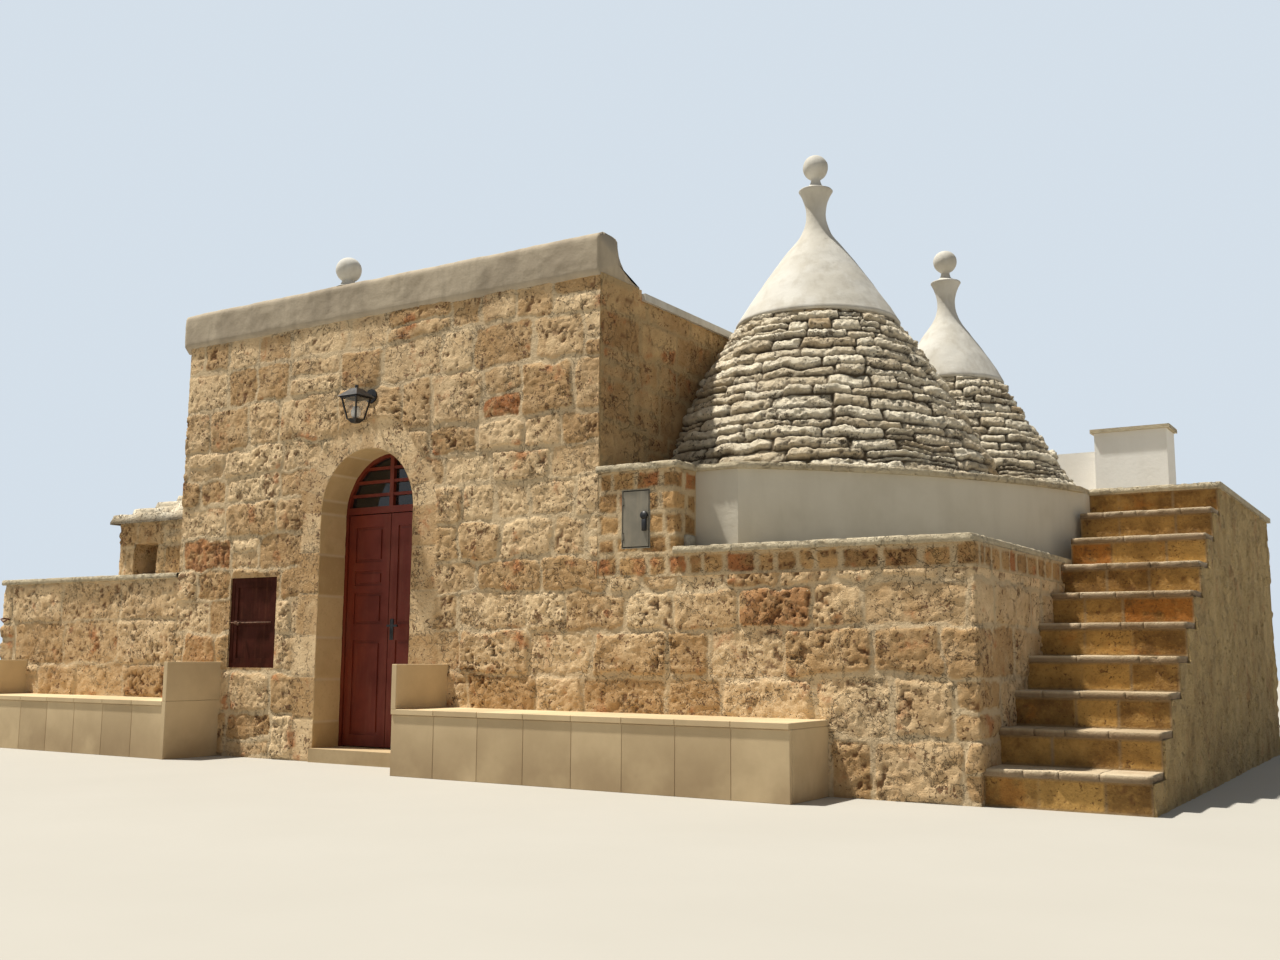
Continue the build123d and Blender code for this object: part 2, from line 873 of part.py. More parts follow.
def cones():
    first = (cone_1_x, cone_1_y, cone_1_foot_radius, cone_1_hem_radius, cone_1_hem_height, cone_1_bulge)
    second = (cone_2_x, cone_2_y, cone_2_foot_radius, cone_2_hem_radius, cone_2_hem_height, cone_2_bulge)
    house = block(0, block_half_width, 0, block_depth, 0, parapet_top)
    house += block(
        0, block_half_width + coping_overhang, wall_thickness, block_depth, side_wall_height, parapet_top
    )
    parts["cone_1"] = solids_of(cone_shell(*first, cone_wall) - house - parts["deck_coping"])
    parts["cone_2"] = solids_of(cone_shell(*second, cone_wall) - cone_shell(*first, 0))
    cap_1 = plaster_cap(*first[:5], cone_1_tip_height)
    cap_2 = plaster_cap(*second[:5], cone_2_tip_height)
    parts["cone_caps"] = Compound([cap_1, cap_2])
    first_pinnacle = pinnacle(cone_1_x, cone_1_y, cone_1_tip_height)
    second_pinnacle = pinnacle(cone_2_x, cone_2_y, cone_2_tip_height)
    parts["finials"] = Compound([first_pinnacle, second_pinnacle, parapet_ball()])


# meter cupboard

meter_right = meter_left + meter_width
meter_leaf_left = meter_left + meter_wall + meter_gap
meter_leaf_right = meter_right - meter_wall - meter_gap
meter_axis_x = meter_leaf_left + meter_pin_radius
meter_axis_y = -meter_proud - meter_barrel_radius + meter_barrel_bite


def meter_hinge(height):
    """Lugs and pin for the case, and the notch and barrel for the door."""
    half = meter_barrel_length / 2
    reach = half + meter_lug_thickness
    x, y, r = meter_axis_x, meter_axis_y, meter_pin_radius
    pin = post(x, y, r, height - reach, height + reach)
    for low in (height - reach, height + half):
        high = low + meter_lug_thickness
        pin += block(meter_left, x, y - r, y + r, low, high)
        pin += block(meter_left, meter_left + meter_wall, y - r, -meter_proud + r, low, high)
    front, back = -meter_proud, -meter_proud + meter_leaf_thickness
    notch = block(
        meter_leaf_left - cut,
        x + meter_web - r,
        front - cut,
        back + cut,
        height - reach - swing_room,
        height + reach + swing_room,
    )
    low, high = height - half + hinge_play, height + half - hinge_play
    barrel = post(x, y, meter_barrel_radius, low, high)
    barrel += block(x, x + meter_web, front, back, low, high)
    barrel -= post(x, y, r + hinge_play, height - reach, height + reach)
    return pin, notch, barrel


def meter_cupboard():
    """A shallow box with an outward door on two pins and a lock body on the door."""
    front, w = -meter_proud, meter_wall
    case = block(meter_left, meter_right, front, meter_depth - meter_proud, meter_sill, meter_top)
    case -= block(
        meter_left + w,
        meter_right - w,
        front - cut,
        meter_depth - meter_proud - w,
        meter_sill + w,
        meter_top - w,
    )
    back = front + meter_leaf_thickness
    low, high = meter_sill + w + meter_gap, meter_top - w - meter_gap
    leaf = block(meter_leaf_left, meter_leaf_right, front, back, low, high)
    for offset in meter_hinge_offsets:
        pin, notch, barrel = meter_hinge(meter_sill + offset)
        case += pin
        leaf = leaf - notch + barrel
    lock_right = meter_leaf_right - meter_lock_inset
    lock_foot = meter_sill + meter_lock_rise
    leaf += block(
        lock_right - meter_lock_width,
        lock_right,
        front - meter_lock_thickness,
        front,
        lock_foot,
        lock_foot + meter_lock_height,
    )
    parts["meter_case"] = solids_of(case)
    parts["meter_door"] = solids_of(leaf)


# parapet at the back of the deck

def back_parapet():
    wall = block(
        block_half_width,
        back_pier_start,
        deck_back - back_parapet_thickness,
        deck_back,
        deck_top,
        deck_top + back_parapet_height,
    )
    pier_front = deck_back - back_pier_thickness
    pier_top = deck_top + back_pier_height
    wall += block(back_pier_start, back_pier_end, pier_front, deck_back, deck_top, pier_top)
    parts["back_parapet"] = solids_of(wall)
    over = coping_overhang
    parts["back_pier_coping"] = block(
        back_pier_start - over,
        back_pier_end + over,
        pier_front - over,
        deck_back,
        pier_top,
        pier_top + back_pier_coping,
    )


door_stones()
front_wall()
other_walls()
vaulted_roof()
front_parapet()
wall_caps()
door_frame()
fanlight()
parts["door_leaf_left"] = door_leaf(-1)
parts["door_leaf_right"] = door_leaf(1)
door_handle()
hatch()
lantern()
benches()
store()
meter_pier()
curved_wall()
roof_deck()
deck_walls()
deck_coping()
parts["low_wall_copings"] = Compound([garden_wall(), front_terrace()])
stairs()
cones()
meter_cupboard()
back_parapet()

os.makedirs("parts", exist_ok=True)
for name, shape in parts.items():
    export_step(shape, f"parts/{name}.step")
print(len(parts), "nodes")
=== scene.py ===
from itertools import product
from math import cos, hypot, pi, radians, sin, sqrt

import bpy
import numpy as np
from mathutils import Matrix, Vector


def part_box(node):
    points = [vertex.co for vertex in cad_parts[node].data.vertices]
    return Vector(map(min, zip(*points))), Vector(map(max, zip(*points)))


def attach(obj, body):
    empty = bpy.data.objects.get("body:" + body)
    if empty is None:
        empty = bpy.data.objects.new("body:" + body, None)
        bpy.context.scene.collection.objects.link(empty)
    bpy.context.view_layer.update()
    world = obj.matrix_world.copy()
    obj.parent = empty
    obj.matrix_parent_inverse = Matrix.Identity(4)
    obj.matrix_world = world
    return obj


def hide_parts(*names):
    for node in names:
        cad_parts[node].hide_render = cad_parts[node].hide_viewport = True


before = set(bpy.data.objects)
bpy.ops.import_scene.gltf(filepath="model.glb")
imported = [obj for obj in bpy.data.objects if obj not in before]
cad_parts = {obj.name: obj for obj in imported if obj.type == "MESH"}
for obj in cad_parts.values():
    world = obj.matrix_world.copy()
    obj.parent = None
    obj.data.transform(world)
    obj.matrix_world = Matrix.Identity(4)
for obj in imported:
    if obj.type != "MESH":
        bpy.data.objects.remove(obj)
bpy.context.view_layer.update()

print("frame loaded:", len(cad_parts), "nodes")


# noise and smooth steps

def softStep(low, high, value):
    # 0 below low, 1 above high, t*t*(3-2t) between them
    t = np.clip((value - low) / (high - low), 0, 1)
    return t * t * (3 - 2 * t)


def cellHash(cells, seed):
    # folds whole cell numbers into an even value from 0 to 1
    primes = np.array([73856093, 19349663, 83492791])[: cells.shape[-1]]
    mixed = (cells * primes).sum(-1) + seed * 668265263
    mixed = (mixed ^ (mixed >> 13)) * 1274126177
    return ((mixed ^ (mixed >> 16)) & 0xFFFF) / 65535


def cloud(places, cell, seed):
    # value noise: hashed lattice corners, blended along each axis with t*t*(3-2t)
    grid = places / cell
    base = np.floor(grid).astype(np.int64)
    part = grid - base
    part = part * part * (3 - 2 * part)
    total = np.zeros(grid.shape[:-1])
    for corner in product((0, 1), repeat=grid.shape[-1]):
        weight = np.where(np.array(corner), part, 1 - part).prod(-1)
        total += weight * cellHash(base + np.array(corner), seed)
    return total


def roughCloud(places, cell, seed, octaves=3):
    # sum of clouds, each at half the cell and half the height of the one before, scaled to 0..1
    total, share = 0, 0
    for n in range(octaves):
        total = total + cloud(places, cell / 2**n, seed + 31 * n) / 2**n
        share += 1 / 2**n
    return total / share


def unevenness(places, height, cell, seed):
    # rough noise about zero, from -height/2 to height/2
    return height * (roughCloud(places, cell, seed) - 0.5)


def together(*parts):
    # arrays and numbers of matching shapes, joined along a new last axis
    return np.stack(np.broadcast_arrays(*parts), -1)


# masonry pattern: the width in metres of the waves of each unevenness, the two ends of each soft step,
# and how high up a split block parts

waves = {
    "drift": 0.17, "sink": 0.14, "sag": 0.9, "fray": 0.04, "creep": 0.3, "cluster": 0.3, "mortar": 0.06,
    "tool": 0.09,
}
bands = {
    "creep": (0.3, 0.8), "pit": (0.62, 0.72), "cluster": (0.5, 0.72), "rim": (0.005, 0.02),
    "drip": (0, 0.22),
}
splitLow, splitSpread = 0.38, 0.24


def blockPlan(length, foot, head, look):
    # uneven course edges from foot to head, and uneven joints along each course, both fitted exactly
    rng = np.random.default_rng(look["seed"])

    def edges(start, end, sizes):
        widths = rng.uniform(*sizes, max(1, round((end - start) * 2 / sum(sizes))))
        return start + np.append(0, np.cumsum(widths)) * (end - start) / widths.sum()

    courses = edges(foot, head, look["courses"])
    return {"courses": courses, "joints": [edges(*length, look["blocks"]) for _ in courses[1:]]}


def blockField(s, z, plan, look):
    # distance to the rounded edge of the block that holds each point, the block's number, and
    # how far up its course the point is
    courses = plan["courses"]
    course = np.clip(np.searchsorted(courses, z, "right") - 1, 0, len(courses) - 2)
    low, high = courses[course], courses[course + 1]
    left, right, number = np.empty_like(s), np.empty_like(s), np.zeros(s.shape, np.int64)
    for n, joints in enumerate(plan["joints"]):
        here = course == n
        k = np.clip(np.searchsorted(joints, s[here], "right"), 1, len(joints) - 1)
        left[here], right[here], number[here] = joints[k - 1], joints[k], n * 997 + k
    chance = cellHash(number[..., None], look["seed"])
    parting = splitLow + splitSpread * cellHash(number[..., None], look["seed"] + 1)
    middle = low + (high - low) * parting
    split, upper = chance < look["split"], z > middle
    low, high = np.where(split & upper, middle, low), np.where(split & ~upper, middle, high)
    number = np.where(split & upper, number + 500, number)
    across, along = np.minimum(s - left, right - s), np.minimum(z - low, high - z)
    a, b = np.clip(look["corner"] - across, 0, None), np.clip(look["corner"] - along, 0, None)
    edge = np.where((a > 0) & (b > 0), look["corner"] - np.hypot(a, b), np.minimum(across, along))
    return edge, number, np.clip((z - low) / (high - low), 0, 1)


def stoneRelief(s, z, places, plan, look):
    # height = mortar*(1-body) + body*(bulge + own step + roughness + drip - pits), where body is a soft
    # step of the distance to the block's wandering edge; also gives body, tone and the pits to darken
    seed, drift = look["seed"], look["drift"]
    s1 = s + drift * (cloud(places, waves["drift"], seed + 2) - 0.5) * 2
    z1 = z + drift * (cloud(places, waves["sink"], seed + 3) - 0.5) * 2
    z1 = z1 + look["sag"] * (cloud(places, waves["sag"], seed + 4) - 0.5)
    edge, number, rise = blockField(s1, z1, plan, look)
    creep = look["creep"] * softStep(*bands["creep"], cloud(places, waves["creep"], seed + 12))
    edge = edge - look["fray"] * cloud(places, waves["fray"], seed + 5) - creep
    half = look["joint"] / 2
    body = softStep(half - 0.004, half + look["lip"], edge)
    tone = cellHash(number[..., None], seed + 6)
    bulge = look["bulge"] * (1 - np.exp(-np.clip(edge - half, 0, None) / look["round"]))
    ownStep = look["step"] * (cellHash(number[..., None], seed + 7) - 0.5)
    knobs = np.abs(roughCloud(places, look["grain"], seed + 8) - 0.5) * 2
    rough = unevenness(places, look["rough"], look["grain"] * 1.6, seed + 13)
    rough = rough - look["rough"] * 0.8 * (knobs - 0.25)
    holes = softStep(*bands["pit"], roughCloud(places, look["pitSize"], seed + 9, 2))
    clusters = softStep(*bands["cluster"], roughCloud(places, waves["cluster"], seed + 10, 2))
    holes = holes * clusters * softStep(*bands["rim"], edge)
    drip = look["drip"] * (1 - rise) * softStep(*bands["drip"], rise)
    mortar = look["mortar"] + unevenness(places, look["mortarRough"], waves["mortar"], seed + 11)
    if look.get("hewn"):
        # tool marks: ridges drawn out along a slanting line
        slant = places @ np.array([[1, 0, 0], [0, 0.86, 0.5], [0, -0.5, 0.86]]).T / np.array([1, 0.5, 1])
        marks = look["hewn"] * (roughCloud(slant, waves["tool"], seed + 14) - 0.4)
        mortar, rough = mortar + marks, rough + marks
    height = mortar * (1 - body) + body * (bulge + ownStep + rough + drip - look["pit"] * holes)
    return np.clip(height, look["least"], look["most"]), together(body, tone, holes * body)


# surfaces as grids: how far the skins' rims reach into a wall, and the marks of a plain point, which
# are body, tone, and pits and painted shade

rimDepth = 0.004
plainMark = (1, 0.5, 0)


def gridSheet(points, backs=None, relief=None, keep=None, wrap=False, poles=False):
    # quads between neighbouring grid points, and a rim from every open edge to the matching back
    # point, with points of its own so that the shading breaks there; with poles the first and last
    # rows are one point each
    rows, columns = points.shape[:2]
    index = np.arange(rows * columns).reshape(rows, columns)
    if poles:
        index[0], index[-1] = index[0, 0], index[-1, 0]
    if wrap:
        index = np.concatenate([index, index[:, :1]], 1)
    quads = together(index[:-1, :-1], index[:-1, 1:], index[1:, 1:], index[1:, :-1])
    quads = quads[keep] if keep is not None else quads.reshape(-1, 4)
    spots = points.reshape(-1, 3)
    marks = np.zeros_like(spots) if relief is None else relief.reshape(-1, 3)
    if backs is not None:
        starts, ends = quads.ravel(), np.roll(quads, -1, 1).ravel()
        forward, backward = starts * len(spots) + ends, ends * len(spots) + starts
        alone = ~np.isin(forward, backward)
        starts, ends = starts[alone], ends[alone]
        rimSpots, places = np.unique(np.concatenate([starts, ends]), return_inverse=True)
        outer = len(spots) + places
        inner = outer + len(rimSpots)
        half = len(starts)
        rim = together(outer[half:], outer[:half], inner[:half], inner[half:])
        spots = np.concatenate([spots, spots[rimSpots], backs.reshape(-1, 3)[rimSpots]])
        marks = np.concatenate([marks, marks[rimSpots], marks[rimSpots]])
        quads = np.concatenate([quads, rim])
    return {"spots": spots, "quads": quads, "relief": marks}


def joinSheets(sheets):
    # one sheet from several, with every quad's numbers moved past the points before it
    shifts = np.cumsum([0] + [len(sheet["spots"]) for sheet in sheets[:-1]])
    moved = [{**sheet, "quads": sheet["quads"] + shift} for sheet, shift in zip(sheets, shifts)]
    return {key: np.concatenate([sheet[key] for sheet in moved]) for key in ("spots", "quads", "relief")}


def makePiece(name, sheet, material, body="house", smooth=True, replaces=()):
    # a mesh object from a sheet's arrays, without the points that no face uses; a quad that names one
    # point twice becomes a triangle
    used, quads = np.unique(sheet["quads"], return_inverse=True)
    quads = quads.reshape(-1, 4)
    spots, relief = sheet["spots"][used], sheet["relief"][used]
    doubled = quads == np.roll(quads, 1, 1)
    pinched = doubled.any(1)
    corners = np.concatenate([quads[~pinched].ravel(), quads[pinched][~doubled[pinched]]])
    counts = np.repeat([4, 3], [(~pinched).sum(), pinched.sum()])
    mesh = bpy.data.meshes.new(name)
    mesh.vertices.add(len(spots))
    mesh.vertices.foreach_set("co", spots.astype(np.float32).ravel())
    mesh.loops.add(len(corners))
    mesh.loops.foreach_set("vertex_index", corners.astype(np.int32))
    mesh.polygons.add(len(counts))
    mesh.polygons.foreach_set("loop_start", np.append(0, np.cumsum(counts)[:-1]).astype(np.int32))
    mesh.update(calc_edges=True)
    marks = mesh.attributes.new("relief", "FLOAT_VECTOR", "POINT").data
    marks.foreach_set("vector", relief.astype(np.float32).ravel())
    mesh.polygons.foreach_set("use_smooth", np.full(len(counts), smooth))
    mesh.validate()
    mesh.materials.append(material)
    piece = bpy.data.objects.new(name, mesh)
    bpy.context.scene.collection.objects.link(piece)
    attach(piece, body)
    if replaces:
        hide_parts(*replaces)


def slabSheet(lows, highs, chamfer, marks):
    # chamfered boxes: each corner gives one point to each of its three faces, set in by the chamfer
    # along the other two axes; faces, edge strips and corner triangles join them
    lows, highs = np.array(lows, float), np.array(highs, float)
    signs = np.array(list(product((0, 1), repeat=3)))
    corner = lows[:, None] + (highs - lows)[:, None] * signs
    inwards = chamfer * (1 - 2 * signs)
    points = corner[:, :, None] + inwards[None, :, None] * (1 - np.eye(3))[None, None]
    number = {tuple(sign): 3 * k for k, sign in enumerate(signs.tolist())}
    faces = []
    for a in range(3):
        b, c = (a + 1) % 3, (a + 2) % 3

        def at(i, j, k, face):
            sign = [0, 0, 0]
            sign[a], sign[b], sign[c] = i, j, k
            return number[tuple(sign)] + face

        for i in (0, 1):
            ring = [at(i, j, k, a) for j, k in ((0, 0), (1, 0), (1, 1), (0, 1))]
            faces.append(ring if i else ring[::-1])
            for j in (0, 1):
                strip = [at(i, j, 0, a), at(i, j, 1, a), at(i, j, 1, b), at(i, j, 0, b)]
                faces.append(strip[::-1] if i == j else strip)
    for sign, first in number.items():
        tip = [first, first + 1, first + 2]
        tip = tip if sum(sign) % 2 else tip[::-1]
        faces.append([*tip, tip[-1]])
    shift = 24 * np.arange(len(lows))
    quads = (np.array(faces)[None] + shift[:, None, None]).reshape(-1, 4)
    relief = np.repeat(np.array(marks, float), 24, 0)
    return {"spots": points.reshape(-1, 3), "quads": quads, "relief": relief}


def steps(stops, spacing):
    # even steps of about the spacing between each pair of neighbouring stops
    stops = sorted(set(stops))
    counts = [max(1, round((b - a) / spacing)) for a, b in zip(stops, stops[1:])]
    parts = [np.linspace(a, b, count + 1)[:-1] for a, b, count in zip(stops, stops[1:], counts)]
    return np.append(np.concatenate(parts), stops[-1])


def alongPath(path, stops, spacing):
    # distance, place and outward normal (dy, -dx) along a plan path, mitred at its bends
    path = np.array(path, float)
    sides = np.diff(path, axis=0)
    lengths = np.hypot(*sides.T)
    bends = np.append(0, np.cumsum(lengths))
    s = steps(list(bends) + list(stops), spacing)
    normals = together(sides[:, 1], -sides[:, 0]) / lengths[:, None]
    side = np.clip(np.searchsorted(bends, s, "right") - 1, 0, len(sides) - 1)
    normal = normals[side]
    for n, bend in enumerate(bends[1:-1]):
        mitre = (normals[n] + normals[n + 1]) / (1 + normals[n] @ normals[n + 1])
        normal[np.isclose(s, bend)] = mitre
    return s, together(*(np.interp(s, bends, line) for line in path.T)), normal


def outsideHoles(s, z, holes):
    # which cells of a grid stay: those whose middle lies outside every (left, right, low, high)
    middleS, middleZ = (s[1:] + s[:-1]) / 2, (z[1:] + z[:-1]) / 2
    keep = np.ones((len(middleZ), len(middleS)), bool)
    for left, right, low, high in holes:
        beside = (middleS > left) & (middleS < right)
        keep &= ~(beside[None] & ((middleZ > low) & (middleZ < high))[:, None])
    return keep


def wallSheet(path, foot, head, look, holes=(), origin=0, plan=None, stops=(), top=None):
    # a stone skin that follows a plan path: each point stands its relief out along the wall's normal;
    # holes are (left, right, low, high) along the path, and top(plane) gives a head that varies
    edges = [edge for hole in holes for edge in hole[:2]]
    s, plane, normal = alongPath(path, [*stops, *edges], look["spacing"])
    z = steps([foot, head] + [edge for hole in holes for edge in hole[2:]], look["spacing"])
    s2, z2 = np.meshgrid(s, z)
    if top is not None:
        z2 = foot + (z2 - foot) * (top(plane)[None, :] - foot) / (head - foot)
    places = together(*plane.T, z2)
    plan = plan or blockPlan((origin, origin + s[-1]), foot, head, look)
    height, relief = stoneRelief(s2 + origin, z2, places, plan, look)
    out = together(*normal.T, 0)
    keep = outsideHoles(s, z, holes)
    return gridSheet(places + out * height[..., None], places - out * rimDepth, relief, keep)


# node groups that several materials share

def addNode(tree, kind, inputs=None, **settings):
    # inputs: socket -> a socket to link, a colour as (red, green, blue), or a plain value
    node = tree.nodes.new(kind)
    for key, value in settings.items():
        setattr(node, key, value)
    for key, value in (inputs or {}).items():
        fillSocket(tree, node.inputs[key], value)
    return node


def fillSocket(tree, socket, value):
    if isinstance(value, bpy.types.NodeSocket):
        tree.links.new(value, socket)
    else:
        socket.default_value = (*value, 1.0) if isinstance(value, tuple) else value


def newGroup(name, inputs, outputs):
    # inputs: name -> starting value, or None for a vector; outputs: names of values
    tree = bpy.data.node_groups.new(name, "ShaderNodeTree")
    for label, value in inputs.items():
        kind = "NodeSocketVector" if value is None else "NodeSocketFloat"
        socket = tree.interface.new_socket(label, in_out="INPUT", socket_type=kind)
        if value is not None:
            socket.default_value = value
    for label in outputs:
        tree.interface.new_socket(label, in_out="OUTPUT", socket_type="NodeSocketFloat")
    return tree, tree.nodes.new("NodeGroupInput").outputs, tree.nodes.new("NodeGroupOutput").inputs


def remap(tree, value, low, high, floor=0.0, ceiling=1.0):
    inputs = {"Value": value, "From Min": low, "From Max": high, "To Min": floor, "To Max": ceiling}
    return addNode(tree, "ShaderNodeMapRange", inputs, interpolation_type="SMOOTHSTEP").outputs["Result"]


def noise(tree, vector, scale, detail=3.0, roughness=0.55):
    inputs = {"Vector": vector, "Scale": scale, "Detail": detail, "Roughness": roughness}
    return addNode(tree, "ShaderNodeTexNoise", inputs).outputs["Fac"]


def maths(tree, operation, a, b):
    return addNode(tree, "ShaderNodeMath", {0: a, 1: b}, operation=operation).outputs[0]


def times(tree, a, b):
    return maths(tree, "MULTIPLY", a, b)


def mixColour(tree, share, a, b, kind="MIX"):
    node = addNode(tree, "ShaderNodeMix", data_type="RGBA", blend_type=kind)
    colours = [n for n in node.inputs if n.type == "RGBA"]
    for socket, value in zip([node.inputs[0]] + colours, (share, a, b)):
        fillSocket(tree, socket, value)
    return [n for n in node.outputs if n.type == "RGBA"][0]


def makeStoneGroups():
    # pits: ragged dark hollows of mixed size that gather in clusters, and thin crevices where a slow
    # noise passes its middle value; stains: broad soft patches and streaks drawn out downwards
    inputs = {"Vector": None, "Size": 0.02, "Share": 0.3, "Crevice": 0.5}
    pits, given, out = newGroup("stonePits", inputs, ["Pits", "Height"])
    place = given["Vector"]
    scale = maths(pits, "DIVIDE", 1.0, given["Size"])
    small = noise(pits, place, scale, 2.0, 0.6)
    large = noise(pits, place, times(pits, scale, 0.4), 3.0, 0.65)
    level = maths(pits, "SUBTRACT", 0.86, times(pits, given["Share"], noise(pits, place, 4.5)))
    reach = maths(pits, "ADD", level, 0.07)
    hole = maths(pits, "MAXIMUM", remap(pits, small, level, reach), remap(pits, large, level, reach))
    pits.links.new(hole, out["Pits"])
    grain = noise(pits, place, times(pits, scale, 0.9), 5.0, 0.68)
    middle = maths(pits, "SUBTRACT", noise(pits, place, 6.5, 4.0, 0.62), 0.5)
    thin = remap(pits, maths(pits, "ABSOLUTE", middle, 0.0), 0.0, 0.016, 1.0, 0.0)
    thin = times(pits, thin, remap(pits, noise(pits, place, 2.4, 2.0), 0.44, 0.56))
    sunk = maths(pits, "ADD", times(pits, hole, 0.7), times(pits, thin, given["Crevice"]))
    pits.links.new(maths(pits, "SUBTRACT", grain, sunk), out["Height"])

    inputs = {"Vector": None, "Scale": 1.6, "Stretch": 0.3}
    stains, given, out = newGroup("weatherStains", inputs, ["Patch", "Streak"])
    patch = noise(stains, given["Vector"], given["Scale"], 5.0, 0.6)
    stains.links.new(remap(stains, patch, 0.42, 0.62), out["Patch"])
    squeeze = addNode(stains, "ShaderNodeCombineXYZ", {"X": 1.0, "Y": 1.0, "Z": given["Stretch"]}).outputs[0]
    inputs = {0: given["Vector"], 1: squeeze}
    drawn = addNode(stains, "ShaderNodeVectorMath", inputs, operation="MULTIPLY").outputs[0]
    streak = noise(stains, drawn, times(stains, given["Scale"], 5.0), 4.0, 0.6)
    stains.links.new(remap(stains, streak, 0.45, 0.7), out["Streak"])
    return pits, stains


pitsGroup, stainsGroup = makeStoneGroups()


def newMaterial(name):
    material = bpy.data.materials.new(name)
    material.use_nodes = True
    tree = material.node_tree
    tree.nodes.clear()
    surface = addNode(tree, "ShaderNodeBsdfPrincipled")
    tree.links.new(surface.outputs["BSDF"], addNode(tree, "ShaderNodeOutputMaterial").inputs["Surface"])
    place = addNode(tree, "ShaderNodeTexCoord").outputs["Object"]
    return material, tree, surface, place


def useGroup(tree, group, **inputs):
    node = addNode(tree, "ShaderNodeGroup", node_tree=group)
    for label, value in inputs.items():
        fillSocket(tree, node.inputs[label], value)
    return node.outputs


def addBump(tree, surface, height, strength, distance):
    inputs = {"Height": height, "Strength": strength, "Distance": distance}
    tree.links.new(addNode(tree, "ShaderNodeBump", inputs).outputs["Normal"], surface.inputs["Normal"])


def stoneMaterial(name, look):
    # stone over mortar by the relief attribute: each block takes a tone between light and dark, some
    # blocks and patches are rust red, pits are dark, the relief's third mark darkens pits and paints
    # shade below the top edges of swept pieces, and grey stains lie over everything
    material, tree, surface, place = newMaterial(name)
    relief = addNode(tree, "ShaderNodeAttribute", attribute_name="relief").outputs["Vector"]
    body, tone, pitsAndShade = addNode(tree, "ShaderNodeSeparateXYZ", {"Vector": relief}).outputs
    if look.get("plain"):
        body, tone, pitsAndShade = 1.0, look["plain"], 0.0
    mottle = noise(tree, place, look["mottle"], 5.0, 0.62)
    blend = maths(tree, "ADD", times(tree, mottle, 1.3), times(tree, tone, 0.7))
    colour = mixColour(tree, remap(tree, blend, 0.55, 1.45), look["light"], look["dark"])
    rustPatch = remap(tree, noise(tree, place, look["rustScale"], 4.0, 0.65), 0.56, 0.7)
    rustBlock = remap(tree, tone, 1 - look["rustBlocks"], 1.02 - look["rustBlocks"])
    wide = remap(tree, noise(tree, place, look["rustScale"] * 2.2, 3.0, 0.6), 0.32, 0.55)
    rust = maths(tree, "MAXIMUM", times(tree, rustPatch, look["rustPatches"]), times(tree, rustBlock, wide))
    colour = mixColour(tree, times(tree, rust, 0.85), colour, look["rust"])
    fine = noise(tree, place, look["fine"], 4.0, 0.7)
    colour = mixColour(tree, remap(tree, fine, 0.5, 0.8, 0.0, look["fleck"]), colour, look["light"])
    colour = mixColour(tree, remap(tree, fine, 0.5, 0.25, 0.0, look["fleck"]), colour, look["dark"])
    shares = {"Size": look["pitSize"], "Share": look["pitShare"], "Crevice": look["crevice"]}
    pits = useGroup(tree, pitsGroup, Vector=place, **shares)
    # the third mark holds the pits and the painted shade below the top edges of treads and copings
    dark = times(tree, maths(tree, "MAXIMUM", pits["Pits"], pitsAndShade), look["pitDark"])
    colour = mixColour(tree, dark, colour, look["pit"])
    mortarTone = mixColour(tree, noise(tree, place, 9.0, 5.0, 0.6), look["mortar"], look["mortarDark"])
    colour = mixColour(tree, body, mortarTone, colour)
    stains = useGroup(tree, stainsGroup, Vector=place, Scale=look["stainScale"], Stretch=0.35)
    colour = mixColour(tree, times(tree, stains["Patch"], look["stains"]), colour, look["stain"], "MULTIPLY")
    if look.get("foot"):
        # darker soft patches towards the ground, fading out half a metre above it
        up = addNode(tree, "ShaderNodeSeparateXYZ", {"Vector": place}).outputs["Z"]
        spread = remap(tree, noise(tree, place, 1.9, 4.0), 0.25, 0.6)
        footDarkening = times(tree, remap(tree, up, 0.0, 0.5, look["foot"], 0.0), spread)
        colour = mixColour(tree, footDarkening, colour, look["stain"], "MULTIPLY")
    tree.links.new(colour, surface.inputs["Base Color"])
    tree.links.new(remap(tree, fine, 0.2, 0.8, 0.82, 0.98), surface.inputs["Roughness"])
    surface.inputs["Specular IOR Level"].default_value = 0.25
    height = maths(tree, "ADD", pits["Height"], times(tree, fine, 0.5))
    addBump(tree, surface, height, look["bump"], look["bumpDepth"])
    return material


wallStoneLook = {
    "light": (0.86, 0.65, 0.39), "dark": (0.5, 0.31, 0.14), "rust": (0.46, 0.16, 0.05),
    "pit": (0.15, 0.06, 0.022), "mortar": (0.76, 0.6, 0.38), "mortarDark": (0.56, 0.42, 0.25),
    "stain": (0.66, 0.62, 0.6), "mottle": 5.0, "rustScale": 3.4, "rustBlocks": 0.04, "rustPatches": 0.95,
    "fine": 40.0, "fleck": 0.6, "pitSize": 0.022, "pitShare": 0.45, "pitDark": 0.8, "stainScale": 0.9,
    "stains": 0.35, "bump": 1.0, "bumpDepth": 0.014, "crevice": 1.6,
}
smallStoneLook = {
    **wallStoneLook, "light": (0.6, 0.37, 0.16), "dark": (0.32, 0.18, 0.07), "rustBlocks": 0.14,
    "rust": (0.46, 0.17, 0.06), "mortar": (0.66, 0.51, 0.31), "pitSize": 0.02,
}
# the cones' mortar, mortarDark and pit colours are near black: painted shade in the gaps and cracks between
# the dry-laid stones; the store roof uses them too, and the copings keep the pit colour
coneStoneLook = {
    "light": (0.98, 0.89, 0.7), "dark": (0.7, 0.585, 0.41), "rust": (0.5, 0.34, 0.17),
    "pit": (0.09, 0.06, 0.035), "mortar": (0.17, 0.125, 0.072), "mortarDark": (0.06, 0.042, 0.024),
    "stain": (0.5, 0.47, 0.43), "mottle": 8.0, "rustScale": 4.0, "rustBlocks": 0.04, "rustPatches": 0.15,
    "fine": 60.0, "fleck": 0.55, "pitSize": 0.022, "pitShare": 0.45, "pitDark": 0.75, "stainScale": 2.2,
    "stains": 0.2, "bump": 1.0, "bumpDepth": 0.028, "crevice": 0.8,
}
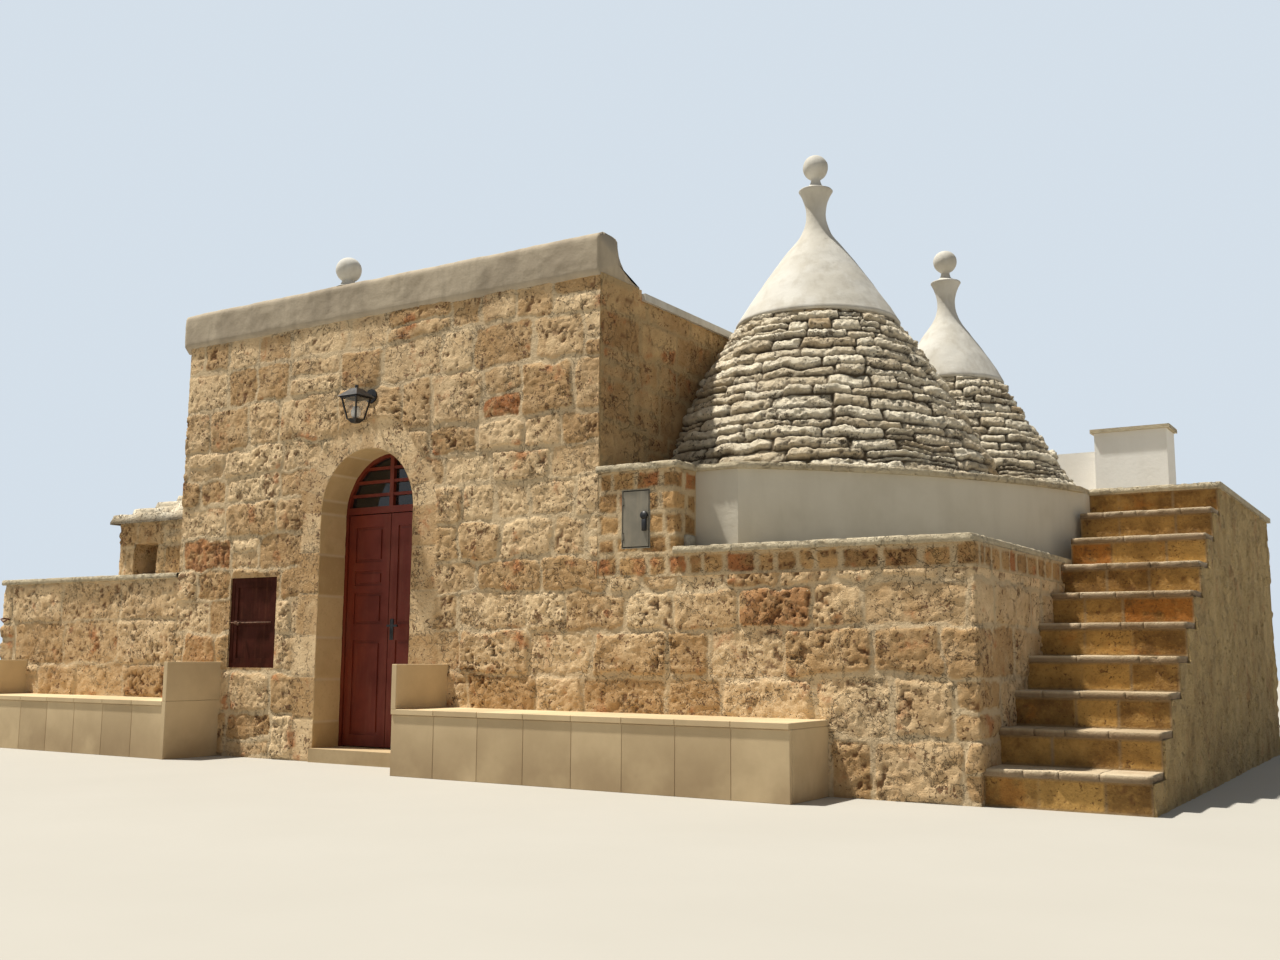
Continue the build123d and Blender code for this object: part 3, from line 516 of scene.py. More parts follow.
dressedLook = {
    **wallStoneLook, "light": (0.66, 0.48, 0.25), "dark": (0.5, 0.34, 0.16), "rustPatches": 0.12,
    "rustBlocks": 0.0, "pitSize": 0.012, "pitShare": 0.2, "pitDark": 0.35, "bump": 0.35,
    "bumpDepth": 0.004, "stains": 0.15, "crevice": 0.0,
}
plainDressedLook = {
    **dressedLook, "light": (0.52, 0.4, 0.24), "dark": (0.4, 0.29, 0.16), "plain": 0.5, "stains": 0.3,
}
copingLook = {
    **coneStoneLook, "light": (0.72, 0.63, 0.45), "dark": (0.5, 0.41, 0.27), "mortar": (0.4, 0.32, 0.2),
    "plain": 0.4, "pitShare": 0.3,
}
innerStoneLook = {**wallStoneLook, "plain": 0.5, "bump": 0.6}
# a darker copy of the wall stone for the block's right, back and left walls: painted shade, matched to the
# right wall, which stands in shade
shadedSideStoneLook = {
    **wallStoneLook, "light": (0.64, 0.44, 0.22), "dark": (0.38, 0.22, 0.09), "mortar": (0.52, 0.38, 0.2),
    "mortarDark": (0.4, 0.27, 0.13),
}

benchLook = {
    **dressedLook, "light": (0.67, 0.525, 0.32), "dark": (0.55, 0.42, 0.25), "rustPatches": 0.0,
    "mottle": 3.0, "fleck": 0.12, "pitSize": 0.008, "pitShare": 0.1, "pitDark": 0.25,
    "mortar": (0.5, 0.4, 0.26), "mortarDark": (0.4, 0.31, 0.2), "bump": 0.12, "bumpDepth": 0.002,
    "stains": 0.2, "foot": 0.9,
}
treadLook = {
    **dressedLook, "light": (0.64, 0.525, 0.36), "dark": (0.42, 0.315, 0.19), "pit": (0.16, 0.09, 0.04),
    "pitDark": 0.8, "stains": 0.4, "pitShare": 0.3, "bump": 0.9, "bumpDepth": 0.012,
}
riserLook = {
    **dressedLook, "light": (0.56, 0.33, 0.1), "dark": (0.17, 0.085, 0.025), "rust": (0.46, 0.18, 0.035),
    "rustPatches": 0.6, "rustBlocks": 0.2, "mortar": (0.42, 0.3, 0.16), "mortarDark": (0.28, 0.19, 0.1),
    "stains": 0.5, "mottle": 7.0, "pitShare": 0.4, "pitDark": 0.7, "pitSize": 0.02, "bump": 0.9,
    "bumpDepth": 0.014,
}
hewnLook = {
    **wallStoneLook, "light": (0.68, 0.5, 0.24), "dark": (0.34, 0.22, 0.09), "mortar": (0.58, 0.44, 0.23),
    "mortarDark": (0.36, 0.26, 0.12), "rustPatches": 0.4, "pitShare": 0.35, "mottle": 4.0, "plain": 0.4,
    "bumpDepth": 0.035,
}

benchStone = stoneMaterial("benchTile", benchLook)
treadStone = stoneMaterial("treadStone", treadLook)
riserStone = stoneMaterial("riserStone", riserLook)
hewnStone = stoneMaterial("hewnStone", hewnLook)
wallStone = stoneMaterial("wallStone", wallStoneLook)
shadedSideStone = stoneMaterial("shadedSideStone", shadedSideStoneLook)
smallStone = stoneMaterial("smallStone", smallStoneLook)
coneStone = stoneMaterial("coneStone", coneStoneLook)
dressedStone = stoneMaterial("dressedStone", dressedLook)
plainDressed = stoneMaterial("plainDressedStone", plainDressedLook)
copingStone = stoneMaterial("copingStone", copingLook)
innerStone = stoneMaterial("innerStone", innerStoneLook)


def plasterMaterial(name, look):
    # lime plaster: a pale colour with broad soft patches, thin streaks and a trowelled bump
    material, tree, surface, place = newMaterial(name)
    stains = useGroup(tree, stainsGroup, Vector=place, Scale=look["scale"], Stretch=0.2)
    colour = mixColour(tree, times(tree, stains["Patch"], look["patches"]), look["light"], look["dark"])
    colour = mixColour(tree, times(tree, stains["Streak"], look["streaks"]), colour, look["streak"])
    tree.links.new(colour, surface.inputs["Base Color"])
    surface.inputs["Roughness"].default_value = look["roughness"]
    surface.inputs["Specular IOR Level"].default_value = 0.2
    fine = noise(tree, place, look["grain"], 5.0, 0.6)
    height = maths(tree, "ADD", fine, noise(tree, place, 4.0, 2.0))
    addBump(tree, surface, height, look["bump"], look["depth"])
    return material


whitePlaster = plasterMaterial("whitePlaster", {
    "light": (0.92, 0.905, 0.86), "dark": (0.82, 0.79, 0.72), "streak": (0.66, 0.62, 0.54), "scale": 1.1,
    "patches": 0.5, "streaks": 0.12, "roughness": 0.88, "grain": 26.0, "bump": 0.35, "depth": 0.006,
})
parapetPlaster = plasterMaterial("parapetPlaster", {
    "light": (0.47, 0.4, 0.3), "dark": (0.33, 0.275, 0.205), "streak": (0.2, 0.17, 0.13), "scale": 1.8,
    "patches": 0.7, "streaks": 0.25, "roughness": 0.93, "grain": 24.0, "bump": 0.45, "depth": 0.008,
})
capPlaster = plasterMaterial("capPlaster", {
    "light": (0.63, 0.61, 0.555), "dark": (0.5, 0.465, 0.39), "streak": (0.38, 0.34, 0.27), "scale": 2.0,
    "patches": 0.6, "streaks": 0.35, "roughness": 0.9, "grain": 30.0, "bump": 0.4, "depth": 0.006,
})
roofLime = plasterMaterial("roofLime", {
    "light": (0.48, 0.46, 0.41), "dark": (0.38, 0.355, 0.3), "streak": (0.27, 0.24, 0.19), "scale": 0.9,
    "patches": 0.8, "streaks": 0.45, "roughness": 0.93, "grain": 18.0, "bump": 0.5, "depth": 0.008,
})
# a greyer copy of the white plaster, given to the curved wall: painted shade, as that wall turns away from
# the sun
shadedLimewash = plasterMaterial("shadedLimewash", {
    "light": (0.62, 0.58, 0.49), "dark": (0.5, 0.46, 0.37), "streak": (0.44, 0.4, 0.32), "scale": 0.8,
    "patches": 0.6, "streaks": 0.2, "roughness": 0.92, "grain": 12.0, "bump": 0.5, "depth": 0.01,
})


def paintMaterial(name, look):
    # paint or metal: two near tones, dust that settles in soft patches, brush lines along the piece
    material, tree, surface, place = newMaterial(name)
    patch = remap(tree, noise(tree, place, look["patch"], 4.0, 0.6), 0.35, 0.7)
    colour = mixColour(tree, patch, look["light"], look["dark"])
    stains = useGroup(tree, stainsGroup, Vector=place, Scale=look["patch"], Stretch=0.12)
    colour = mixColour(tree, times(tree, stains["Streak"], look["dust"]), colour, look["dusty"])
    tree.links.new(colour, surface.inputs["Base Color"])
    tree.links.new(remap(tree, patch, 0.0, 1.0, look["smooth"], look["dull"]), surface.inputs["Roughness"])
    surface.inputs["Metallic"].default_value = look.get("metal", 0.0)
    surface.inputs["Specular IOR Level"].default_value = look.get("shine", 0.5)
    addBump(tree, surface, noise(tree, place, look["grain"], 3.0), look["bump"], 0.001)
    return material


redPaint = paintMaterial("oxbloodPaint", {
    "light": (0.168, 0.025, 0.011), "dark": (0.112, 0.016, 0.008), "dusty": (0.26, 0.09, 0.05),
    "patch": 3.0, "dust": 0.2, "smooth": 0.42, "dull": 0.58, "shine": 0.25, "grain": 90.0, "bump": 0.25,
})
brownPaint = paintMaterial("hatchPaint", {
    "light": (0.058, 0.012, 0.006), "dark": (0.034, 0.008, 0.004), "dusty": (0.14, 0.05, 0.025),
    "patch": 5.0, "dust": 0.25, "smooth": 0.6, "dull": 0.78, "shine": 0.08, "grain": 70.0, "bump": 0.4,
})
blackIron = paintMaterial("blackIron", {
    "light": (0.022, 0.022, 0.024), "dark": (0.012, 0.012, 0.013), "dusty": (0.12, 0.1, 0.08),
    "patch": 12.0, "dust": 0.3, "smooth": 0.35, "dull": 0.6, "grain": 160.0, "bump": 0.4, "metal": 0.4,
})
greyPaint = paintMaterial("meterGrey", {
    "light": (0.235, 0.21, 0.16), "dark": (0.18, 0.163, 0.125), "dusty": (0.32, 0.27, 0.19), "patch": 6.0,
    "dust": 0.3, "smooth": 0.45, "dull": 0.6, "grain": 120.0, "bump": 0.2,
})
palePaint = paintMaterial("palePaint", {
    "light": (0.46, 0.43, 0.35), "dark": (0.32, 0.29, 0.23), "dusty": (0.2, 0.17, 0.12), "patch": 30.0,
    "dust": 0.5, "smooth": 0.6, "dull": 0.8, "grain": 120.0, "bump": 0.4,
})
rustyIron = paintMaterial("rustyIron", {
    "light": (0.16, 0.07, 0.035), "dark": (0.06, 0.035, 0.022), "dusty": (0.3, 0.16, 0.08), "patch": 20.0,
    "dust": 0.5, "smooth": 0.6, "dull": 0.85, "grain": 200.0, "bump": 0.8, "metal": 0.3,
})


def glassMaterial(name, tint, share):
    # a clear or dark pane: mostly see-through, with a glossy skin and faint dust
    material, tree, surface, place = newMaterial(name)
    dust = remap(tree, noise(tree, place, 14.0, 4.0), 0.4, 0.8, 0.04, 0.22)
    tree.links.new(dust, surface.inputs["Roughness"])
    patch = remap(tree, noise(tree, place, 6.0), 0.4, 0.7)
    colour = mixColour(tree, patch, tint, tuple(0.8 * c for c in tint))
    tree.links.new(colour, surface.inputs["Base Color"])
    surface.inputs["Alpha"].default_value = share
    surface.inputs["Specular IOR Level"].default_value = 0.6
    return material


darkPane = glassMaterial("darkPane", (0.02, 0.018, 0.016), 0.85)
lanternPane = glassMaterial("lanternPane", (0.75, 0.73, 0.66), 0.16)
bulbWhite = plasterMaterial("bulbWhite", {
    "light": (0.9, 0.89, 0.85), "dark": (0.84, 0.82, 0.76), "streak": (0.8, 0.78, 0.7), "scale": 12.0,
    "patches": 0.4, "streaks": 0.1, "roughness": 0.3, "grain": 40.0, "bump": 0.05, "depth": 0.001,
})
print("materials done")


# places taken from the frame

def boxOf(node):
    low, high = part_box(node)
    return np.array(low), np.array(high)


wallLow, wallHigh = boxOf("front_wall_left")
wallLeft, wallHead = wallLow[0], wallHigh[2]
blockRight = boxOf("front_wall_right")[1][0]
blockBack = boxOf("back_wall")[1][1]
sideHead = boxOf("left_wall")[1][2]
surroundHalf, _, springZ = boxOf("door_jambs")[1]
revealHalf = 0.54
revealDepth = boxOf("door_frame")[0][1]
hatchLow, hatchHigh = boxOf("hatch_frame")
gardenLow, gardenHigh = boxOf("garden_wall")
storeLow, storeHigh = boxOf("store_walls")
pierLow, pierHigh = boxOf("meter_pier")
terraceLow, terraceHigh = boxOf("front_terrace")
stairLow, stairHigh = boxOf("stair_core")
deckTop = pierHigh[2]
deckRight, deckBack = boxOf("deck_right_wall")[1][:2]
meterLow, meterHigh = boxOf("meter_case")
parapetLow, parapetHigh = boxOf("front_parapet")
lampLow, lampHigh = boxOf("lantern_body")
lampX, lampZ = (lampLow[0] + lampHigh[0]) / 2, lampHigh[2] - 0.06
treadRise = 0.233
treadGoing = 0.345
treadThick = 0.045
stepCount = round((stairHigh[1] - stairLow[1]) / treadGoing)


# front wall

frontLook = {
    "seed": 5, "spacing": 0.0135, "courses": (0.24, 0.4), "blocks": (0.3, 0.74), "split": 0.16,
    "corner": 0.05, "joint": 0.009, "lip": 0.004, "drift": 0.024, "sag": 0.05, "fray": 0.014,
    "creep": 0.014, "bulge": 0.014, "round": 0.006, "step": 0.022, "rough": 0.016, "grain": 0.045,
    "pit": 0.022, "pitSize": 0.035, "drip": 0.0, "mortar": 0.006, "mortarRough": 0.006, "least": 0.001,
    "most": 0.05,
}
frontPlan = blockPlan((gardenLow[0], 8.4), 0, wallHead, frontLook)
ringLook = {"joint": 0.006, "height": 0.008, "rough": 0.005, "voussoirs": 11, "jambCourse": 0.36}


def dressedRelief(x, z, places, look):
    # the dressed ring round the doorway: smooth stones, cut by thin joints that point at the arch's
    # centre above the spring and lie level below it; a joint is where place is a whole number
    turn = np.arctan2(z - springZ, x)
    above = z > springZ
    step, course = pi / look["voussoirs"], look["jambCourse"]
    place = np.where(above, turn / step, z / course)
    size = np.where(above, np.hypot(x, z - springZ), 1)
    along = np.abs((place + 0.5) % 1 - 0.5) * np.where(above, step, course) * size
    number = (np.floor(place) + np.where(above, 50, 20 * (x > 0))).astype(np.int64)
    body = softStep(look["joint"] / 2, look["joint"] * 1.4, along)
    height = look["height"] * (0.5 + 0.5 * body) + unevenness(places, look["rough"], 0.09, 77)
    return height, together(0.3 + 0.7 * body, cellHash(number[..., None], 3), 0)


# ragged: how far the ring's outer edge wanders, and the width of its waves; above smoothFrom the
# stones lose a part of their relief, and all but flush of it is lost close to the hatch and the lantern
frontShape = {
    "archColumns": 57, "sink": 0.05, "ragged": (0.1, 0.3), "soften": (0.02, 0.03), "smoothFrom": 2.9,
    "smoothTo": 3.5, "smooth": 0.45, "flush": 0.2, "flushReach": 0.08, "lamp": 0.08,
}


def frontSheet():
    # one grid over the whole front: columns crowd to the sides of the arch as -half*cos(t), and over
    # the doorway the rows start on the arch at spring + sqrt(half^2 - x^2)
    look, shape = frontLook, frontShape
    arch = -revealHalf * np.cos(np.linspace(0, pi, shape["archColumns"]))
    left = steps([wallLeft, hatchLow[0], hatchHigh[0], -revealHalf], look["spacing"])
    right = steps([revealHalf, blockRight], look["spacing"])
    x = np.concatenate([left[:-1], arch, right[1:]])
    lower = steps([0, hatchLow[2], hatchHigh[2], springZ], look["spacing"])
    upper = steps([springZ, wallHead], look["spacing"])
    share = (upper[1:] - springZ) / (wallHead - springZ)
    overDoor = springZ + np.sqrt(np.clip(revealHalf**2 - x**2, 0, None))
    x2, z2 = np.meshgrid(x, np.concatenate([lower, upper[1:]]))
    z2[len(lower):] = overDoor[None] + share[:, None] * (wallHead - overDoor[None])
    z2[len(lower) - 1] = overDoor
    places = together(x2, 0, z2)
    height, relief = stoneRelief(x2, z2, places, frontPlan, look)
    # the wall is smoother near its head, and flatter round the hatch and the lantern, which sit flush
    upwards = softStep(shape["smoothFrom"], shape["smoothTo"], z2 + unevenness(places, 0.5, 0.8, 23))
    height = height * (1 - shape["smooth"] * upwards)
    hatchX, hatchZ = (hatchLow + hatchHigh)[::2] / 2
    halfX, halfZ = (hatchHigh - hatchLow)[::2] / 2
    hatchGap = np.maximum(np.abs(x2 - hatchX) - halfX, np.abs(z2 - hatchZ) - halfZ)
    lampGap = np.hypot(x2 - lampX, z2 - lampZ) - shape["lamp"]
    free = softStep(0.0, shape["flushReach"], np.minimum(hatchGap, lampGap))
    height = height * (shape["flush"] + (1 - shape["flush"]) * free)
    # the dressed ring takes over inside a ragged edge
    ring = np.where(z2 > springZ, np.hypot(x2, z2 - springZ), np.abs(x2))
    wander, wave = shape["ragged"]
    ragged = surroundHalf - shape["sink"] + wander * (cloud(places, wave, 21) - 0.5)
    inner, outer = shape["soften"]
    dressed = 1 - softStep(ragged - inner, ragged + outer, ring)
    ringHeight, ringRelief = dressedRelief(x2, z2, places, ringLook)
    height = height * (1 - dressed) + ringHeight * dressed
    relief = relief * (1 - dressed[..., None]) + ringRelief * dressed[..., None]
    doorway = (-revealHalf, revealHalf, -1, springZ)
    hatch = (hatchLow[0], hatchHigh[0], hatchLow[2], hatchHigh[2])
    keep = outsideHoles(x, z2[:, 0], [doorway, hatch])
    outward = np.array([0, -1, 0])
    return gridSheet(places + outward * height[..., None], places - outward * rimDepth, relief, keep)


frontStones = frontSheet()
makePiece("frontStones", frontStones, wallStone)


def revealSheet():
    # the lining of the doorway: up the left jamb, round the arch and down the right jamb; the joints
    # between its blocks are sunk, and each block stands out by its own step
    look = {
        "spacing": 0.02, "course": 0.36, "joint": 0.007, "proud": 0.006, "rough": 0.008,
        "voussoir": pi / 7, "arcSteps": 85, "front": 0.006, "back": 0.002, "least": 0.001, "most": 0.02,
    }
    jamb = steps([boxOf("door_threshold")[1][2], springZ], look["spacing"])
    arc = np.linspace(pi, 0, look["arcSteps"])[1:-1]
    ones = np.ones_like(jamb)
    inX = np.concatenate([ones, -np.cos(arc), -ones])
    inZ = np.concatenate([0 * ones, -np.sin(arc), 0 * ones])
    z = np.concatenate([jamb, springZ + revealHalf * np.sin(arc), jamb[::-1]])
    # block numbers: a joint at each whole number down the jambs and round the arch
    down = (springZ - jamb) / look["course"]
    block = np.concatenate([down, 20.5 + arc / look["voussoir"], 40 + down[::-1]])
    aroundArc = 0 * arc + look["voussoir"] * revealHalf
    size = np.concatenate([ones * look["course"], aroundArc, ones * look["course"]])
    y = steps([-look["front"], revealDepth - look["back"]], look["spacing"])
    places = together(-revealHalf * inX[:, None], y[None], z[:, None])
    inward = together(inX, 0, inZ)[:, None]
    gap = (np.abs(block - np.round(block)) * size)[:, None] + 0.008 * (cloud(places, 0.05, 83) - 0.5)
    body = softStep(look["joint"] / 2, look["joint"] * 1.6, gap)
    tone = cellHash(np.floor(block).astype(np.int64)[:, None], 85)[:, None]
    height = look["proud"] * (0.3 + 0.7 * body * (0.6 + 0.4 * tone))
    height = height + unevenness(places, look["rough"], 0.08, 87) * body
    height = np.clip(height, look["least"], look["most"])[..., None]
    return gridSheet(places + inward * height, places - inward * rimDepth, together(body, tone, 0))


makePiece("doorReveal", revealSheet(), dressedStone)
print("front wall done", len(frontStones["quads"]))


# the other walls

sideLook = {
    **frontLook, "seed": 12, "spacing": 0.034, "courses": (0.24, 0.36), "rough": 0.016, "bulge": 0.008,
    "joint": 0.018,
}
coveReach = parapetHigh[1]


def sideTop(plane):
    # the side walls follow the parapet's sweep down to the flat cap behind it
    return np.where(plane[:, 1] < coveReach, wallHead, sideHead)


def sideWalls():
    path = [(blockRight, 0), (blockRight, blockBack), (wallLeft, blockBack), (wallLeft, 0)]
    return wallSheet(path, 0, wallHead, sideLook, top=sideTop, stops=[coveReach])


def gardenWall():
    look = {**frontLook, "seed": 31, "courses": (0.3, 0.44), "blocks": (0.5, 1.1), "spacing": 0.02}
    back, front, left = gardenHigh[1], gardenLow[1], gardenLow[0]
    path = [(wallLeft, back), (left, back), (left, front), (wallLeft, front)]
    return wallSheet(path, 0, gardenHigh[2], look)


def storeWalls():
    look = {
        **frontLook, "seed": 43, "courses": (0.2, 0.34), "blocks": (0.2, 0.5), "spacing": 0.028,
        "split": 0.1,
    }
    window = {"right": 3.56, "width": 0.37, "low": 1.7, "high": 2.02}
    left, front, back = storeLow[0], storeLow[1], storeHigh[1]
    path = [(wallLeft, back), (left, back), (left, front), (wallLeft, front)]
    run = 2 * (wallLeft - left) + back - front
    start = run - (wallLeft + window["right"])
    hole = (start, start + window["width"], window["low"], window["high"])
    return wallSheet(path, 0, storeHigh[2], look, holes=[hole])


bandHeight = 0.165
bandLook = {
    **frontLook, "seed": 57, "courses": (0.15, 0.17), "blocks": (0.1, 0.3), "split": 0.0, "corner": 0.045,
    "joint": 0.018, "lip": 0.01, "bulge": 0.01, "step": 0.012, "rough": 0.016, "sag": 0.0, "drift": 0.014,
    "creep": 0.008, "fray": 0.012, "mortar": 0.01, "most": 0.03,
}


def terraceWalls():
    # the same courses as the front wall run on below a band of small stones
    bandFoot = terraceHigh[2] - bandHeight
    path = [(blockRight, 0), (stairLow[0], 0), (stairLow[0], terraceHigh[1])]
    start = blockRight - wallLeft
    lower = wallSheet(path, 0, bandFoot, frontLook, origin=blockRight, plan=frontPlan)
    return lower, wallSheet(path, bandFoot, terraceHigh[2], bandLook, origin=start)


def pierWalls():
    look = {**bandLook, "seed": 61, "courses": (0.12, 0.19), "blocks": (0.13, 0.24), "corner": 0.02}
    path = [(blockRight, 0), (pierHigh[0], 0), (pierHigh[0], 0.3)]
    hole = (meterLow[0] - blockRight, meterHigh[0] - blockRight, meterLow[2], meterHigh[2])
    return wallSheet(path, terraceHigh[2], deckTop, look, holes=[hole])


def stairAndDeckWalls():
    # the open side of the stairs rises in steps under the treads, then the walls run on round the deck
    look = {
        **frontLook, "seed": 70, "spacing": 0.026, "courses": (0.25, 0.4), "blocks": (0.3, 0.8),
        "joint": 0.006, "bulge": 0.004, "rough": 0.016, "mortar": 0.01, "hewn": 0.024, "most": 0.032,
    }
    path = [(deckRight, stairLow[1]), (deckRight, deckBack), (blockRight, deckBack), (blockRight, blockBack)]
    holes = []
    for n in range(stepCount):
        under = (n + 1) * treadRise - treadThick
        holes.append((n * treadGoing, (n + 1) * treadGoing, under, deckTop))
    return wallSheet(path, 0, deckTop, look, holes=holes)


makePiece("sideStones", sideWalls(), shadedSideStone)
makePiece("gardenStones", gardenWall(), wallStone)
makePiece("storeStones", storeWalls(), wallStone)
terraceLower, terraceBand = terraceWalls()
makePiece("terraceStones", terraceLower, wallStone)
makePiece("bandStones", terraceBand, smallStone)
makePiece("pierStones", pierWalls(), smallStone)
makePiece("deckStones", stairAndDeckWalls(), hewnStone)
print("walls done")


# stone cones

coneLook = {
    "seed": 101, "spacing": 0.0145, "courses": (0.08, 0.125), "blocks": (0.18, 0.6), "split": 0.1,
    "corner": 0.03, "joint": 0.006, "lip": 0.006, "drift": 0.026, "sag": 0.06, "fray": 0.01,
    "creep": 0.003, "bulge": 0.028, "round": 0.008, "step": 0.038, "rough": 0.038, "grain": 0.038,
    "pit": 0.02, "pitSize": 0.04, "drip": 0.012, "mortar": 0.0, "mortarRough": 0.01, "least": 0.001,
    "most": 0.09, "crowd": 1.15, "rowCrowd": 0.8, "sink": 0.02, "hem": (0.1, 0.02), "hemLoss": 0.75,
}


def coneSheet(form, look):
    # radius = straight taper + swell*4t(1-t), turned round the axis; flat stones stand out from it and
    # are laid in rings, so that the pattern runs round by turn times the mean radius
    centre, swell = form["centre"], form["swell"]
    footRadius, hemRadius, footZ, hemZ = form["foot"], form["hem"], form["footZ"], form["hemZ"]
    slant = hypot(footRadius - hemRadius, hemZ - footZ)
    mean = (footRadius + hemRadius) / 2
    turn = np.linspace(0, 2 * pi, round(2 * pi * mean * look["crowd"] / look["spacing"]) + 1)[:-1]
    up = steps([0, slant], look["spacing"] * look["rowCrowd"])
    turn2, up2 = np.meshgrid(turn, up)
    t = up2 / slant
    outward = together(np.cos(turn2), np.sin(turn2), 0)
    radius = footRadius + (hemRadius - footRadius) * t + swell * 4 * t * (1 - t)
    z = footZ + (hemZ - footZ) * t
    lean = (footRadius - hemRadius) / slant
    normal = outward * ((hemZ - footZ) / slant) + np.array([0, 0, lean])
    places = outward * radius[..., None] + together(*centre, z)
    plan = blockPlan((0, 2 * pi * mean), 0, slant, look)
    height, relief = stoneRelief(turn2 * mean, up2, places, plan, look)
    # the stones lose most of their relief where they go under the cap's lip
    start, end = look["hem"]
    height = height * (1 - look["hemLoss"] * softStep(slant - start, slant - end, up2))
    points = places + normal * height[..., None]
    backs = places - normal * look["sink"]
    # a cone ends just inside the front block's side
    for array in (points, backs):
        array[..., 0] = np.maximum(array[..., 0], blockRight - 0.01)
    return gridSheet(points, backs, relief, wrap=True)


firstCone = {
    "centre": (3.2, 2.27), "foot": 1.56, "hem": 0.668, "footZ": deckTop, "hemZ": 3.84, "swell": 0.03,
    "tip": 4.62,
}
secondCone = {
    "centre": (3.68, 4.35), "foot": 1.32, "hem": 0.48, "footZ": deckTop, "hemZ": 3.64, "swell": -0.01,
    "tip": 4.22,
}
makePiece("firstConeStones", coneSheet(firstCone, coneLook), coneStone)
makePiece("secondConeStones", coneSheet(secondCone, {**coneLook, "seed": 140, "spacing": 0.018}), coneStone)
print("cones done")


# plaster caps, pinnacles and the parapet's ball

def turnedSheet(outline, centre, rough, spacing, sides, seed):
    # a (radius, z) outline turned round an upright axis, each point pushed outwards by two sizes of
    # unevenness
    outline = np.array(outline)
    turn = np.linspace(0, 2 * pi, sides + 1)[:-1]
    lengths = np.append(0, np.cumsum(np.hypot(*np.diff(outline, axis=0).T)))
    along = steps(lengths, spacing)
    radius, z = (np.interp(along, lengths, line) for line in outline.T)
    outward = together(np.cos(turn), np.sin(turn), 0)[None]
    points = outward * radius[:, None, None] + together(*centre, z[:, None])
    push = unevenness(points, rough, 0.22, seed) + unevenness(points, 0.3 * rough, 0.05, seed + 1)
    push = push * softStep(0, 0.05, radius)[:, None]
    points = points + outward * push[..., None]
    return gridSheet(points, wrap=True, poles=True)


def arcPoints(start, end, bulge, count=9):
    # points of a line that swells by 4*bulge*t(1-t) between two ends
    t = np.linspace(0, 1, count)
    line = np.outer(1 - t, start) + np.outer(t, end)
    line[:, 0] += 4 * bulge * t * (1 - t)
    return line


def ballPoints(neckRadius, neckTop, radius):
    # a circle that starts on the neck and closes on the axis
    centre = neckTop + sqrt(radius**2 - neckRadius**2)
    start = np.arcsin(neckRadius / radius)
    turn = np.linspace(start, pi, 15)
    return together(radius * np.sin(turn), centre - radius * np.cos(turn))


# the lip's reach over the top course, the pinnacle's radii, and their heights: the waist's and the
# rim's over the cap's tip, the neck's over the rim
pinnacle = {
    "lip": 0.036, "lipSlope": 0.035, "foot": 0.175, "waist": 0.088, "waistUp": 0.25, "rimUp": 0.47,
    "neck": 0.042, "neckUp": 0.11, "ball": 0.116,
}


def capOutline(form):
    # a thick lip that hangs over the top course, a straight-sided cap, then the pinnacle's waist, rim,
    # neck and ball
    hemZ, tipZ, look = form["hemZ"], form["tip"], pinnacle
    lean = (form["foot"] - form["hem"]) / (hemZ - form["footZ"])
    lip = form["hem"] + look["lipSlope"] * lean + look["lip"]
    rim = tipZ + look["rimUp"]
    foot, waist = (look["foot"], tipZ), (look["waist"], tipZ + look["waistUp"])
    neck = (look["neck"], rim + look["neckUp"])
    parts = [
        [(0, hemZ - 0.012), (lip - 0.07, hemZ - 0.012), (lip - 0.03, hemZ - 0.036), (lip, hemZ - 0.03)],
        arcPoints((lip + 0.002, hemZ - 0.008), foot, 0.018, 14),
        arcPoints(foot, waist, -0.022)[1:],
        arcPoints(waist, (0.148, rim - 0.012), -0.016)[1:],
        [(0.152, rim - 0.004), (0.146, rim + 0.004)],
        arcPoints((0.146, rim + 0.004), (0.062, rim + 0.045), -0.006, 5)[1:],
        arcPoints((0.062, rim + 0.045), neck, -0.006, 5)[1:],
        ballPoints(*neck, look["ball"])[1:],
    ]
    return np.concatenate([np.array(part) for part in parts])


def ballOutline():
    # a spreading foot on the parapet, then the ball
    foot = parapetHigh[2]
    spread = [(0, foot - 0.01), (0.11, foot - 0.01), (0.075, foot + 0.008)]
    return np.concatenate([spread, ballPoints(0.055, foot + 0.055, 0.115)])


parapetShelf = 0.23
ballCentre = (-0.42, (parapetLow[1] + parapetShelf) / 2)
capSheets = [
    turnedSheet(capOutline(firstCone), firstCone["centre"], 0.02, 0.022, sides=104, seed=201),
    turnedSheet(capOutline(secondCone), secondCone["centre"], 0.018, 0.022, sides=84, seed=207),
    turnedSheet(ballOutline(), ballCentre, 0.008, 0.014, sides=40, seed=211),
]
makePiece("plasterCaps", joinSheets(capSheets), capPlaster, replaces=["cone_caps", "finials"])


# parapet

